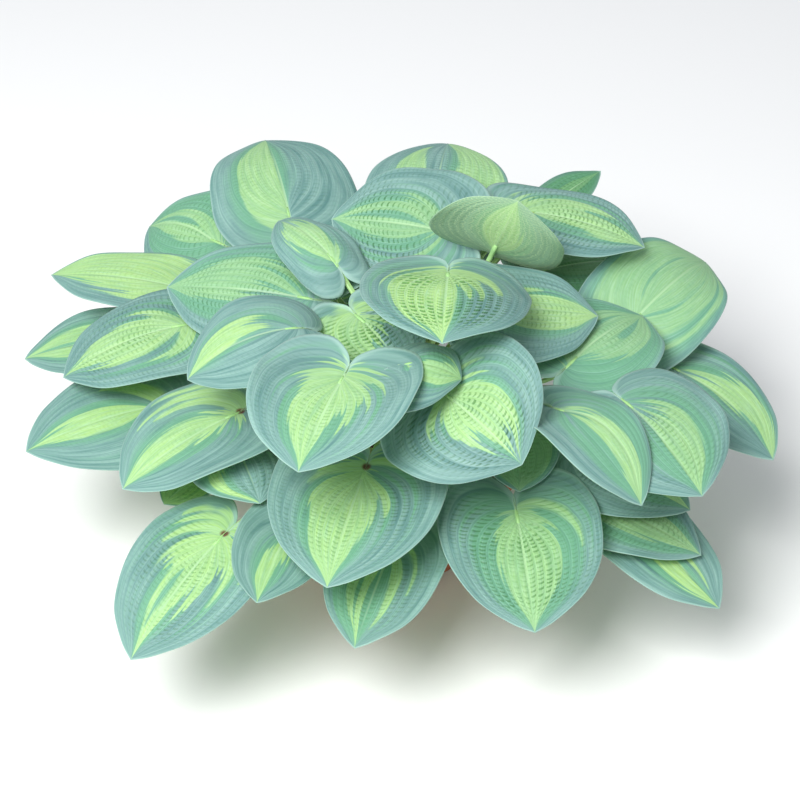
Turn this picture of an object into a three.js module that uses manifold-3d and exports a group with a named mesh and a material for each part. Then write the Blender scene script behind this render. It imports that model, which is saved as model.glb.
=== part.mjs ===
// A variegated hosta in a low terracotta pot: the pot, the soil in it, and one solid for each leaf.
// Millimetres, +Z up. The origin is the middle of the pot's base, and -Y is the front of the clump.

import * as THREE from 'three';
import { mergeVertices } from 'three/addons/utils/BufferGeometryUtils.js';
import Module from 'manifold-3d';

const wasm = await Module();
wasm.setup();

// The pot, a low round one with a rolled rim
const potHeight = 130;
const potRimRadius = 116;
const potBaseRadius = 72;
const potRimHeight = 28;
const potRimStep = 7;
const potWall = 8;
const potFloor = 12;
const potEdge = 3;
const potSides = 40;
const drainHoleRadius = 7;
const drainHoleRing = 38;
const drainHoleCount = 4;
const drainHoleSides = 16;

// The soil, a low mound that fills the pot. Its slope takes up the outer share of its radius.
const soilGap = 0.3;
const soilBelowRim = 16;
const soilMound = 9;
const soilSlopeShare = 0.45;
const soilTop = potHeight - soilBelowRim;
const soilCrown = soilTop + soilMound;

// The stalks stand in plain holes, one in the middle of the crown and the others in rings round it
const crownRings = [
  { radius: 0, count: 1 },
  { radius: 17, count: 8 },
  { radius: 33, count: 16 },
  { radius: 51, count: 30 },
];
const holeSpacing = 7.8;
const holeGap = 0.45;
const spreadPasses = 300;

// A stalk comes straight out of the soil, then rises by a fixed amount and a share of its height
// before it arches over. It arrives partly along the rib and partly from the crown's direction.
const stalkFootDepth = 20;
const stalkFootRadius = 3;
const stalkTopRadius = 2.5;
const stalkSides = 4;
const stalkSteps = 5;
const collarRise = 4;
const stalkRise = 35;
const stalkRiseShare = 0.6;
const steepRiseCut = 0.5;
const outwardShare = 0.45;
const arrivalReach = 0.35;

// The blades. The stalk's end is sunk into the underside as a rib. The ears, the two lobes behind the
// stalk, turn up where they reach back past earFrom, a share of the blade's length.
const bladeThickness = 0.9;
const ribReach = 16;
const ribDepth = 2.1;
const ribEndDepth = 1.5;
const ribTaper = 0.6;
const leafGap = 3.4;
const earFrom = 0.15;
const earLift = 0.6;
const laneAcross = [-1, -0.66, -0.32, 0, 0.32, 0.66, 1];
const rowsAlong = [0.11, 0.25, 0.42, 0.6, 0.78];

// A leaf's right margin from the stalk to the tip, in shares of half its width and of its length
const heartMargin = [
  [0, 0], [0.05, -0.16], [0.36, -0.28], [0.76, -0.21], [0.98, 0.02],
  [1, 0.27], [0.91, 0.52], [0.67, 0.75], [0.28, 0.92], [0, 1],
].map(([x, y]) => new THREE.Vector2(x, y));
const heartCurve = new THREE.SplineCurve(heartMargin);

// Each leaf, from the top of the clump to the bottom: where its stalk joins the blade, its tip, its
// width, how far it rolls with its right side down, how far its midrib bends over from end to end,
// and how far its left and right edges turn up, or down below nought. Angles are in degrees, and a
// leaf with no roll lies level. A steep stalk comes to the blade from below: 0 or left out is not at
// all, and 1 is straight up. Ears is a leaf's own earLift, and below nought its ears fold down.
const leaves = [
  { base: [42, 4, 306], tip: [35, -112, 318], width: 152, arch: 40, left: -32, right: -12, steep: 0.6 },
  { base: [-56, 75, 259], tip: [-113, 150, 255], width: 76, arch: 50, left: -45, right: -35, ears: 0 },
  { base: [-46, -76, 256], tip: [-82, -194, 250], width: 144, arch: 25, left: 22, right: 8, steep: 1 },
  { base: [-84, -11, 255], tip: [-184, -48, 226], width: 125, arch: 60,
    left: -15, right: -12, steep: 1, ears: -0.4 },
  { base: [0, -72, 262], tip: [52, -84, 256], width: 110, arch: 70, left: -40, right: -25, steep: 1 },
  { base: [36, -94, 251], tip: [101, -168, 234], width: 148, roll: 26, arch: 55, left: 0, right: -5 },
  { base: [84, 88, 264], tip: [104, 71, 333], width: 126, roll: -70, arch: -40,
    left: 35, right: -15, ears: 0.2 },
  { base: [-40, 16, 250], tip: [6, -55, 238], width: 98, arch: 30, left: -10, right: -10 },
  { base: [-78, 55, 236], tip: [-217, 98, 218], width: 126, roll: -20, arch: 25, left: -15, right: -15 },
  { base: [130, -78, 220], tip: [199, -182, 202], width: 94, arch: 75, left: -10, right: 25 },
  { base: [70, 5, 262], tip: [178, 23, 242], width: 120, roll: 12, arch: 25,
    left: -12, right: -12, ears: 0 },
  { base: [45, 116, 268], tip: [-64, 142, 264], width: 140, roll: -22, arch: 25, left: -10, right: -10 },
  { base: [110, 142, 273], tip: [225, 101, 261], width: 105, arch: 35,
    left: -12, right: -12, steep: 0.35 },
  { base: [30, 153, 257], tip: [47, 281, 256], width: 138, arch: 50, left: -10, right: -10 },
  { base: [128, 172, 246], tip: [192, 216, 268], width: 52, arch: 15, left: 5, right: 5 },
  { base: [-195, 77, 190], tip: [-309, 38, 158], width: 125, arch: 40, left: -10, right: -10 },
  { base: [-29, -122, 190], tip: [-60, -255, 176], width: 150, arch: 20, left: 6, right: 6 },
  { base: [190, -48, 205], tip: [251, -147, 182], width: 148, arch: 35,
    left: -12, right: -12, steep: 0.45, ears: 0 },
  { base: [146, 6, 195], tip: [222, 92, 187], width: 130, roll: 3, arch: 40, left: 8, right: 5 },
  { base: [209, 70, 192], tip: [290, 165, 195], width: 118, roll: 20, arch: 75, left: 5, right: 5 },
  { base: [129, 126, 214], tip: [215, 167, 197], width: 90, arch: 20, left: -5, right: -5 },
  { base: [-141, -54, 195], tip: [-239, -136, 177], width: 130, arch: 30, left: 18, right: -8 },
  { base: [-146, -70, 176], tip: [-120, -137, 162], width: 100, arch: 35, left: -60, right: -15 },
  { base: [105, -70, 186], tip: [103, -135, 173], width: 72, arch: 20, left: -5, right: -5 },
  { base: [100, -134, 152], tip: [112, -255, 125], width: 140, arch: 25, left: 14, right: 12 },
  { base: [150, -80, 165], tip: [253, -131, 148], width: 105, arch: 25, left: -8, right: -8 },
  { base: [-197, 143, 179], tip: [-335, 168, 179], width: 96, arch: 25, left: -5, right: -5 },
  { base: [-104, 180, 235], tip: [-135, 319, 235], width: 142, arch: 45, left: -8, right: -8 },
  { base: [-170, 196, 194], tip: [-250, 256, 174], width: 115, roll: -25, arch: 50,
    left: -10, right: -10 },
  { base: [245, 30, 180], tip: [331, -78, 159], width: 104, arch: 42, left: -10, right: -10 },
  { base: [-215, 10, 150], tip: [-336, -48, 143], width: 135, arch: 25, left: -20, right: -5 },
  { base: [-92, -146, 150], tip: [-119, -232, 138], width: 84, arch: 15, left: 0, right: 0 },
  { base: [-150, -168, 155], tip: [-223, -282, 119], width: 122, arch: 30, left: 0, right: 0, ears: 0 },
  { base: [-2, -160, 145], tip: [-38, -268, 118], width: 102, arch: 25, left: 0, right: 0 },
  { base: [155, -105, 145], tip: [261, -165, 126], width: 100, arch: 25, left: -5, right: -5 },
  { base: [-176, -80, 146], tip: [-208, -113, 138], width: 55, arch: 20, left: 0, right: 0 },
  { base: [-240, 108, 152], tip: [-357, 92, 137], width: 105, arch: 25, left: -5, right: -5 },
  { base: [190, -110, 130], tip: [274, -208, 104], width: 95, arch: 25, left: -5, right: -5 },
  { base: [-20, 172, 198], tip: [-40, 292, 165], width: 115, arch: 40, left: -8, right: -8 },
  { base: [95, 165, 215], tip: [115, 288, 180], width: 120, arch: 40, left: -8, right: -8 },
  { base: [185, 120, 190], tip: [275, 195, 150], width: 115, arch: 40, left: -8, right: -8 },
  { base: [-140, 150, 158], tip: [-220, 250, 118], width: 105, arch: 40, left: -8, right: -8 },
  { base: [25, 165, 165], tip: [30, 285, 115], width: 120, arch: 40, left: -8, right: -8 },
  { base: [-60, 165, 150], tip: [-100, 278, 100], width: 110, arch: 40, left: -8, right: -8 },
  { base: [120, 130, 160], tip: [195, 225, 110], width: 115, arch: 40, left: -8, right: -8 },
  { base: [185, 45, 150], tip: [300, 80, 115], width: 110, arch: 35, left: -8, right: -8 },
  { base: [-190, 60, 140], tip: [-295, 125, 105], width: 105, arch: 35, left: -8, right: -8 },
];

const lengthOf = (leaf) => new THREE.Vector3(...leaf.tip).distanceTo(new THREE.Vector3(...leaf.base));

// The blade's frame: forward along the chord from stalk to tip, right, and up out of the face
function frameOf(leaf) {
  const forward = new THREE.Vector3(...leaf.tip).sub(new THREE.Vector3(...leaf.base)).normalize();
  const level = new THREE.Vector3().crossVectors(forward, new THREE.Vector3(0, 0, 1)).normalize();
  const right = level.clone().applyAxisAngle(forward, THREE.MathUtils.degToRad(leaf.roll ?? 0));
  const up = new THREE.Vector3().crossVectors(right, forward);
  return { forward, right, up };
}

// A point of the blade: across is -1 to 1 from the left margin to the right, and along is 0 to 1 on
// the vein that runs there. The veins part at the stalk and meet at the tip. Below lies under it.
function bladePoint(leaf, across, along, below = 0) {
  const { forward, right, up } = frameOf(leaf);
  const bend = THREE.MathUtils.degToRad(leaf.arch);
  const length = (lengthOf(leaf) * (bend / 2)) / Math.sin(bend / 2);
  const halfWidth = leaf.width / 2;
  const margin = heartCurve.getPoint(along);
  const square = across * across;
  const side = across * margin.x * halfWidth;
  const reach = ((1 - square) * along + square * margin.y) * length;
  const turn = THREE.MathUtils.degToRad(across < 0 ? leaf.left : leaf.right) + 1e-6;
  const angle = (turn * Math.abs(side)) / halfWidth;
  const out = Math.sign(side) * (halfWidth / turn) * Math.sin(angle);
  const behind = Math.max(0, earFrom - reach / length);
  const cupped = (halfWidth / turn) * (1 - Math.cos(angle));
  const lift = cupped + (leaf.ears ?? earLift) * length * behind * behind * square - below;
  const slope = bend / 2 - (bend * reach) / length;
  const radius = length / bend;
  const alongChord = radius * (Math.sin(bend / 2) - Math.sin(slope));
  const aboveChord = radius * (Math.cos(slope) - Math.cos(bend / 2));
  return new THREE.Vector3(...leaf.base)
    .addScaledVector(forward, alongChord - lift * Math.sin(slope))
    .addScaledVector(up, aboveChord + lift * Math.cos(slope))
    .addScaledVector(right, out);
}

// The blade's middle surface: one point at the stalk, rows of points across, one point at the tip
function bladeSheet(leaf) {
  const points = [bladePoint(leaf, 0, 0)];
  for (const along of rowsAlong) {
    for (const across of laneAcross) points.push(bladePoint(leaf, across, along));
  }
  points.push(bladePoint(leaf, 0, 1));
  const wide = laneAcross.length;
  const rowCount = rowsAlong.length + 1;
  const tip = points.length - 1;
  const at = (row, lane) => 1 + (row - 1) * wide + lane;
  const faces = [];
  for (let lane = 0; lane < wide - 1; lane++) {
    faces.push([0, at(1, lane + 1), at(1, lane)]);
    for (let row = 1; row < rowCount - 1; row++) {
      const [a, b, c, d] = [at(row, lane), at(row, lane + 1), at(row + 1, lane + 1), at(row + 1, lane)];
      if (lane < (wide - 1) / 2) faces.push([a, b, d], [b, c, d]);
      else faces.push([a, b, c], [a, c, d]);
    }
    faces.push([tip, at(rowCount - 1, lane), at(rowCount - 1, lane + 1)]);
  }
  const rim = [0];
  for (let row = 1; row < rowCount; row++) rim.push(at(row, wide - 1));
  rim.push(tip);
  for (let row = rowCount - 1; row > 0; row--) rim.push(at(row, 0));
  return { points, faces, rim };
}

// Both faces of the blade are split into the same triangles, half its thickness from the middle
function bladeGeometry(sheet) {
  const normals = sheet.points.map(() => new THREE.Vector3());
  for (const [a, b, c] of sheet.faces) {
    const ab = sheet.points[b].clone().sub(sheet.points[a]);
    const ac = sheet.points[c].clone().sub(sheet.points[a]);
    const normal = ab.cross(ac).normalize();
    for (const corner of [a, b, c]) normals[corner].add(normal);
  }
  const count = sheet.points.length;
  const places = [];
  for (const sideOf of [0.5, -0.5]) {
    sheet.points.forEach((point, i) => {
      const moved = point.clone().addScaledVector(normals[i].normalize(), sideOf * bladeThickness);
      places.push(moved.x, moved.y, moved.z);
    });
  }
  const corners = [];
  for (const [a, b, c] of sheet.faces) corners.push(a, b, c, count + a, count + c, count + b);
  sheet.rim.forEach((a, i) => {
    const b = sheet.rim[(i + 1) % sheet.rim.length];
    corners.push(a, count + a, count + b, a, count + b, b);
  });
  return closedGeometry(places, corners);
}

function closedGeometry(places, corners) {
  const geometry = new THREE.BufferGeometry();
  geometry.setAttribute('position', new THREE.Float32BufferAttribute(places, 3));
  geometry.setIndex(corners);
  return geometry;
}

// The way in which leaves that lie over others are lifted clear of them: up and to the front
const liftSlope = THREE.MathUtils.degToRad(40);
const liftWay = new THREE.Vector3(0, -Math.cos(liftSlope), Math.sin(liftSlope));
const liftUp = new THREE.Vector3(0, Math.sin(liftSlope), Math.cos(liftSlope));

// A sheet as seen along the lift: x and y across it, z along it
function seenAlongLift(sheet) {
  const points = sheet.points.map((p) => [p.x, p.dot(liftUp), p.dot(liftWay)]);
  const edges = new Map();
  for (const [a, b, c] of sheet.faces) {
    for (const [from, to] of [[a, b], [b, c], [c, a]]) {
      edges.set(Math.min(from, to) * 1000 + Math.max(from, to), [from, to]);
    }
  }
  const box = new THREE.Box2();
  for (const [x, y] of points) box.expandByPoint(new THREE.Vector2(x, y));
  return { points, faces: sheet.faces, edges: [...edges.values()], box };
}

// The height of a triangle over a point, or nothing where the point is outside it
function heightOver([x, y], p, q, r) {
  const area = (q[0] - p[0]) * (r[1] - p[1]) - (q[1] - p[1]) * (r[0] - p[0]);
  const u = ((q[0] - x) * (r[1] - y) - (q[1] - y) * (r[0] - x)) / area;
  const v = ((r[0] - x) * (p[1] - y) - (r[1] - y) * (p[0] - x)) / area;
  const w = 1 - u - v;
  return u >= 0 && v >= 0 && w >= 0 ? u * p[2] + v * q[2] + w * r[2] : undefined;
}

// Where two edges cross in the view along the lift, how far the first lies above the second
function edgeGap(p, q, r, s) {
  const dx = q[0] - p[0];
  const dy = q[1] - p[1];
  const ex = s[0] - r[0];
  const ey = s[1] - r[1];
  const cross = dx * ey - dy * ex;
  const t = ((r[0] - p[0]) * ey - (r[1] - p[1]) * ex) / cross;
  const u = ((r[0] - p[0]) * dy - (r[1] - p[1]) * dx) / cross;
  if (!(t >= 0 && t <= 1 && u >= 0 && u <= 1)) return undefined;
  return p[2] + t * (q[2] - p[2]) - (r[2] + u * (s[2] - r[2]));
}

// The least distance, along the lift, from one sheet up to another that lies over it
function clearance(upper, lower) {
  if (!upper.box.intersectsBox(lower.box)) return Infinity;
  let least = Infinity;
  const note = (gap) => {
    if (gap !== undefined) least = Math.min(least, gap);
  };
  for (const [sheet, other, sign] of [[upper, lower, 1], [lower, upper, -1]]) {
    for (const point of sheet.points) {
      for (const [a, b, c] of other.faces) {
        const height = heightOver(point, other.points[a], other.points[b], other.points[c]);
        if (height !== undefined) note(sign * (point[2] - height));
      }
    }
  }
  for (const [a, b] of upper.edges) {
    for (const [c, d] of lower.edges) {
      note(edgeGap(upper.points[a], upper.points[b], lower.points[c], lower.points[d]));
    }
  }
  return least;
}

// From the bottom of the clump to the top, each leaf is lifted until it clears all those below it
function settle() {
  const below = [];
  for (const leaf of [...leaves].reverse()) {
    const seen = seenAlongLift(bladeSheet(leaf));
    const lift = Math.max(0, ...below.map((lower) => leafGap - clearance(seen, lower)));
    for (const point of seen.points) point[2] += lift;
    below.push(seen);
    leaf.base = leaf.base.map((value, i) => value + lift * liftWay.getComponent(i));
    leaf.tip = leaf.tip.map((value, i) => value + lift * liftWay.getComponent(i));
  }
}

// Each leaf gets a hole in a ring of the crown, the highest leaves in the inner ring. It lies in the
// leaf's own direction, or a little aside where the holes of a ring would come too close together.
function placeStalks() {
  const byHeight = [...leaves].sort((a, b) => b.base[2] - a.base[2]);
  let first = 0;
  for (const ring of crownRings) {
    const members = byHeight.slice(first, first + ring.count);
    first += ring.count;
    for (const leaf of members) leaf.angle = Math.atan2(leaf.base[1], leaf.base[0]);
    members.sort((a, b) => a.angle - b.angle);
    for (let pass = 0; members.length > 1 && pass < spreadPasses; pass++) {
      spread(members, holeSpacing / ring.radius);
    }
    for (const leaf of members) {
      leaf.foot = [ring.radius * Math.cos(leaf.angle), ring.radius * Math.sin(leaf.angle)];
    }
  }
}

// Neighbours in a ring that stand closer than the least angle are moved apart, half each
function spread(members, least) {
  members.forEach((leaf, i) => {
    const next = members[(i + 1) % members.length];
    const wrap = i + 1 === members.length ? 2 * Math.PI : 0;
    const lack = least - (next.angle + wrap - leaf.angle);
    if (lack > 0) {
      leaf.angle -= lack / 2;
      next.angle += lack / 2;
    }
  });
}

// A stalk's middle line: straight up out of its hole, over in an arch, and in under the blade's rib
function stalkPoints(leaf) {
  const upward = new THREE.Vector3(0, 0, 1);
  const steep = leaf.steep ?? 0;
  const foot = new THREE.Vector3(...leaf.foot, soilCrown - stalkFootDepth);
  const collar = new THREE.Vector3(...leaf.foot, soilCrown + collarRise);
  const joint = bladePoint(leaf, 0, 0, ribDepth);
  const rib = bladePoint(leaf, 0, ribReach / lengthOf(leaf), ribEndDepth);
  const outward = joint.clone().sub(collar);
  const span = outward.length();
  const arriving = rib.clone().sub(joint).normalize()
    .lerp(outward.normalize(), outwardShare)
    .lerp(upward, steep)
    .normalize();
  const rise = (1 - steepRiseCut * steep) * (stalkRise + stalkRiseShare * (joint.z - soilCrown));
  const curve = new THREE.CubicBezierCurve3(
    collar,
    collar.clone().addScaledVector(upward, rise),
    joint.clone().addScaledVector(arriving, -arrivalReach * span),
    joint,
  );
  return [foot, ...curve.getPoints(stalkSteps), rib];
}

// A stalk is a row of rings joined up, with a closed end at its foot and one inside the blade
function stalkGeometry(leaf) {
  const points = stalkPoints(leaf);
  const last = points.length - 1;
  const places = [];
  const corners = [];
  let side = new THREE.Vector3(1, 0, 0);
  points.forEach((point, i) => {
    const ahead = points[Math.min(i + 1, last)].clone().sub(points[Math.max(i - 1, 0)]).normalize();
    if (i < 2) ahead.set(0, 0, 1);
    side = side.clone().addScaledVector(ahead, -side.dot(ahead)).normalize();
    const cross = new THREE.Vector3().crossVectors(ahead, side);
    const share = i / (last - 1);
    const full = THREE.MathUtils.lerp(stalkFootRadius, stalkTopRadius, Math.min(1, share));
    const radius = i === last ? ribTaper * full : full;
    for (let k = 0; k < stalkSides; k++) {
      const angle = (2 * Math.PI * k) / stalkSides;
      const place = point.clone()
        .addScaledVector(side, radius * Math.cos(angle))
        .addScaledVector(cross, radius * Math.sin(angle));
      places.push(place.x, place.y, place.z);
    }
  });
  const at = (ring, k) => ring * stalkSides + (k % stalkSides);
  for (let i = 0; i < last; i++) {
    for (let k = 0; k < stalkSides; k++) {
      corners.push(at(i, k), at(i, k + 1), at(i + 1, k + 1), at(i, k), at(i + 1, k + 1), at(i + 1, k));
    }
  }
  for (let k = 1; k < stalkSides - 1; k++) {
    corners.push(at(0, 0), at(0, k + 1), at(0, k), at(last, 0), at(last, k), at(last, k + 1));
  }
  return closedGeometry(places, corners);
}

// A geometry as a solid that can be joined and cut, and back
function solidOf(geometry) {
  const bare = geometry.clone();
  bare.deleteAttribute('normal');
  bare.deleteAttribute('uv');
  const merged = mergeVertices(bare, 1e-4);
  const vertProperties = new Float32Array(merged.getAttribute('position').array);
  const triVerts = new Uint32Array(merged.getIndex().array);
  return new wasm.Manifold(new wasm.Mesh({ numProp: 3, vertProperties, triVerts }));
}

function geometryOf(solid) {
  const mesh = solid.getMesh();
  return closedGeometry([...mesh.vertProperties], [...mesh.triVerts]);
}

// A round piece from its profile of radius and height
function turned(profile, sides) {
  const geometry = new THREE.LatheGeometry(profile.map(([r, z]) => new THREE.Vector2(r, z)), sides);
  return geometry.rotateX(Math.PI / 2);
}

// The pot's inner radius at a height, measured along its straight wall
function potInnerRadius(height) {
  const rimInner = potRimRadius - potRimStep - potWall;
  return potBaseRadius - potWall + ((rimInner - potBaseRadius + potWall) * height) / potHeight;
}

function potGeometry() {
  const rimFoot = potHeight - potRimHeight;
  const bodyTop = potInnerRadius(rimFoot) + potWall;
  const rimTop = potInnerRadius(potHeight);
  const body = solidOf(turned([
    [0, 0], [potBaseRadius - potEdge, 0], [potBaseRadius, potEdge], [bodyTop, rimFoot - potEdge],
    [potRimRadius - potEdge, rimFoot], [potRimRadius, rimFoot + potEdge],
    [potRimRadius, potHeight - potEdge], [potRimRadius - potEdge, potHeight],
    [rimTop + potEdge, potHeight], [rimTop, potHeight - potEdge], [potInnerRadius(potFloor), potFloor],
    [0, potFloor],
  ], potSides));
  const hole = new THREE.CylinderGeometry(drainHoleRadius, drainHoleRadius, 3 * potFloor, drainHoleSides)
    .rotateX(Math.PI / 2);
  let pot = body;
  for (let i = 0; i < drainHoleCount; i++) {
    const angle = (2 * Math.PI * (i + 0.5)) / drainHoleCount;
    const place = [drainHoleRing * Math.cos(angle), drainHoleRing * Math.sin(angle), 0];
    pot = pot.subtract(solidOf(hole.clone().translate(...place)));
  }
  return geometryOf(pot);
}

function soilGeometry() {
  const bottom = potFloor + soilGap;
  const edge = potInnerRadius(soilTop) - soilGap;
  const mound = [0, 0.55, 1].map((run) => [
    edge * (1 - soilSlopeShare * run), soilTop + soilMound * Math.sin((run * Math.PI) / 2),
  ]);
  let soil = solidOf(turned([
    [0, bottom], [potInnerRadius(bottom) - soilGap, bottom], ...mound, [0, soilCrown],
  ], potSides));
  const holeRadius = stalkFootRadius + holeGap / Math.cos(Math.PI / stalkSides);
  const depth = stalkFootDepth + soilGap;
  const hole = new THREE.CylinderGeometry(holeRadius, holeRadius, 2 * depth, stalkSides).rotateX(Math.PI / 2);
  for (const leaf of leaves) {
    soil = soil.subtract(solidOf(hole.clone().translate(...leaf.foot, soilCrown)));
  }
  return geometryOf(soil);
}

const terracotta = () => new THREE.MeshStandardMaterial({ color: '#b8694a', roughness: 0.85, metalness: 0 });
const pottingSoil = () => new THREE.MeshStandardMaterial({ color: '#3b2a20', roughness: 0.95, metalness: 0 });
const hostaLeaf = () => new THREE.MeshStandardMaterial({ color: '#8fbf9a', roughness: 0.55, metalness: 0 });

function add(group, name, geometry, material) {
  const flat = geometry.index ? geometry.toNonIndexed() : geometry;
  flat.computeVertexNormals();
  const mesh = new THREE.Mesh(flat, material);
  mesh.name = name;
  group.add(mesh);
}

settle();
placeStalks();

const group = new THREE.Group();
add(group, 'pot', potGeometry(), terracotta());
add(group, 'soil', soilGeometry(), pottingSoil());
leaves.forEach((leaf, i) => {
  const blade = solidOf(bladeGeometry(bladeSheet(leaf)));
  const stalk = solidOf(stalkGeometry(leaf));
  add(group, `leaf_${String(i + 1).padStart(2, '0')}`, geometryOf(blade.add(stalk)), hostaLeaf());
});

export default group;
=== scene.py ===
# A variegated hosta in a low terracotta pot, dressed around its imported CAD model.
# Forms are worked out in millimetres, as in the CAD source, and turned to metres where a mesh is made.
import math
from functools import partial

import bpy
import numpy as np
from mathutils import Euler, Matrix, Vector


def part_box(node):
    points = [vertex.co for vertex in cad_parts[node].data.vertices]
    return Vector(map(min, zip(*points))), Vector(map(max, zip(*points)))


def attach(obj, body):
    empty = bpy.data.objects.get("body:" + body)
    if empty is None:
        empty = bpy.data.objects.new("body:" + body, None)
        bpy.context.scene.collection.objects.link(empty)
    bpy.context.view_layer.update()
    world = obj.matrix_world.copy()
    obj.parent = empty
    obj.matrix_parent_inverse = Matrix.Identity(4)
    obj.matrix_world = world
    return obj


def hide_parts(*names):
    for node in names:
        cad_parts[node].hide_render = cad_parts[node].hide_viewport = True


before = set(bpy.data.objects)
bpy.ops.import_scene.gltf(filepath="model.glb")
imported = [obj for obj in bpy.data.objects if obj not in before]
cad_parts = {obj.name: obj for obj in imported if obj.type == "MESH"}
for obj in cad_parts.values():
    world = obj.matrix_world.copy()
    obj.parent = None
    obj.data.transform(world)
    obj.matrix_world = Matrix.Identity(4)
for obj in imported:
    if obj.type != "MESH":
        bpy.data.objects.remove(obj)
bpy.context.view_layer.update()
print("frame loaded:", len(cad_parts), "nodes")

mm = 0.001


def toLinear(hexColour):
    parts = [int(hexColour[i : i + 2], 16) / 255 for i in (1, 3, 5)]
    linear = [p / 12.92 if p <= 0.04045 else ((p + 0.055) / 1.055) ** 2.4 for p in parts]
    return linear + [1.0]


# A node of the given kind, with its settings and with values or links for its sockets. It gives the
# output named or numbered by out. A Mix of colours has them at sockets 6 and 7 and gives one at 2.
def addNode(tree, kind, sockets=None, out=0, **settings):
    node = tree.nodes.new("ShaderNode" + kind)
    for name, value in settings.items():
        setattr(node, name, value)
    for key, value in (sockets or {}).items():
        if isinstance(value, bpy.types.NodeSocket):
            tree.links.new(value, node.inputs[key])
        else:
            node.inputs[key].default_value = value
    return node.outputs[out] if node.outputs else None


# Settings that many nodes share
rgba = {"data_type": "RGBA", "out": 2}
smooth = {"interpolation_type": "SMOOTHSTEP"}


# A material without nodes, and addNode for its tree
def newMaterial(name):
    material = bpy.data.materials.new(name)
    material.use_nodes = True
    material.node_tree.nodes.clear()
    return material, partial(addNode, material.node_tree)


def newPiece(name, points, faces, materials, slot, node=None, shadeSmooth=True):
    mesh = bpy.data.meshes.new(name)
    mesh.from_pydata((np.asarray(points) * mm).tolist(), [], faces)
    mesh.update()
    mesh.polygons.foreach_set("use_smooth", np.full(len(mesh.polygons), shadeSmooth))
    for material in materials:
        mesh.materials.append(material)
    piece = bpy.data.objects.new(name, mesh)
    bpy.context.scene.collection.objects.link(piece)
    if slot:
        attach(piece, "root")
    if node:
        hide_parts(node)
    return piece


# Three values for each point of a piece, for its material to read
def storeField(piece, name, values):
    stored = piece.data.attributes.new(name, "FLOAT_VECTOR", "POINT")
    stored.data.foreach_set("vector", values.astype(np.float32).ravel())


# Camera, at the photograph's angle: straight in front of the clump and 40 degrees above it
cameraSettings = {
    "target": (0, -20, 180),
    "elevation": 40,
    "distance": 2000,
    "lens": 100,
    "sensor": 36,
}


def makeCamera():
    target = Vector(cameraSettings["target"]) * mm
    elevation = math.radians(cameraSettings["elevation"])
    away = Vector((0, -math.cos(elevation), math.sin(elevation))) * cameraSettings["distance"] * mm
    data = bpy.data.cameras.new("camera")
    data.lens = cameraSettings["lens"]
    data.sensor_width = cameraSettings["sensor"]
    camera = bpy.data.objects.new("camera", data)
    bpy.context.scene.collection.objects.link(camera)
    camera.location = target + away
    camera.rotation_euler = (-away).to_track_quat("-Z", "Y").to_euler()
    bpy.context.scene.camera = camera


makeCamera()
print("camera placed")

# The leaves, from the top of the clump to the bottom, as in the CAD source: where the stalk joins the
# blade, the tip, the width, the roll, the arch of the midrib and the turn of the left and right edges.
# Across runs from -1 at the left margin to 1 at the right, and along from 0 at the stalk to 1 at the tip.
# The markings are: limeLeft and limeRight, the edges of the lime centre at along 0, 1/4, 1/2, 3/4 and 1;
# limeFrom and limeTo, where it starts and ends; flames (across, half width, from, to), single lime
# streaks; and cuts, blue ones. The rest are shares: green is how far the green wash reaches past the
# lime, yellow and limeness are its hue and strength, ragged is how uneven its streaks end, pucker and
# ribs are the relief, rib is where the midrib lies across, and shade is painted shade, which makes a
# leaf that lies in the shadow of others darker and greener.
leafDefaults = dict(
    roll=0, arch=25, left=-10, right=-10, steep=0, ears=0.6, rib=0, limeFrom=-1, limeTo=2, flames=(),
    cuts=(), green=0.15, yellow=0.5, limeness=1, ragged=0.34, pucker=0.55, ribs=0.5, shade=0, spot=0,
)
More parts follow.
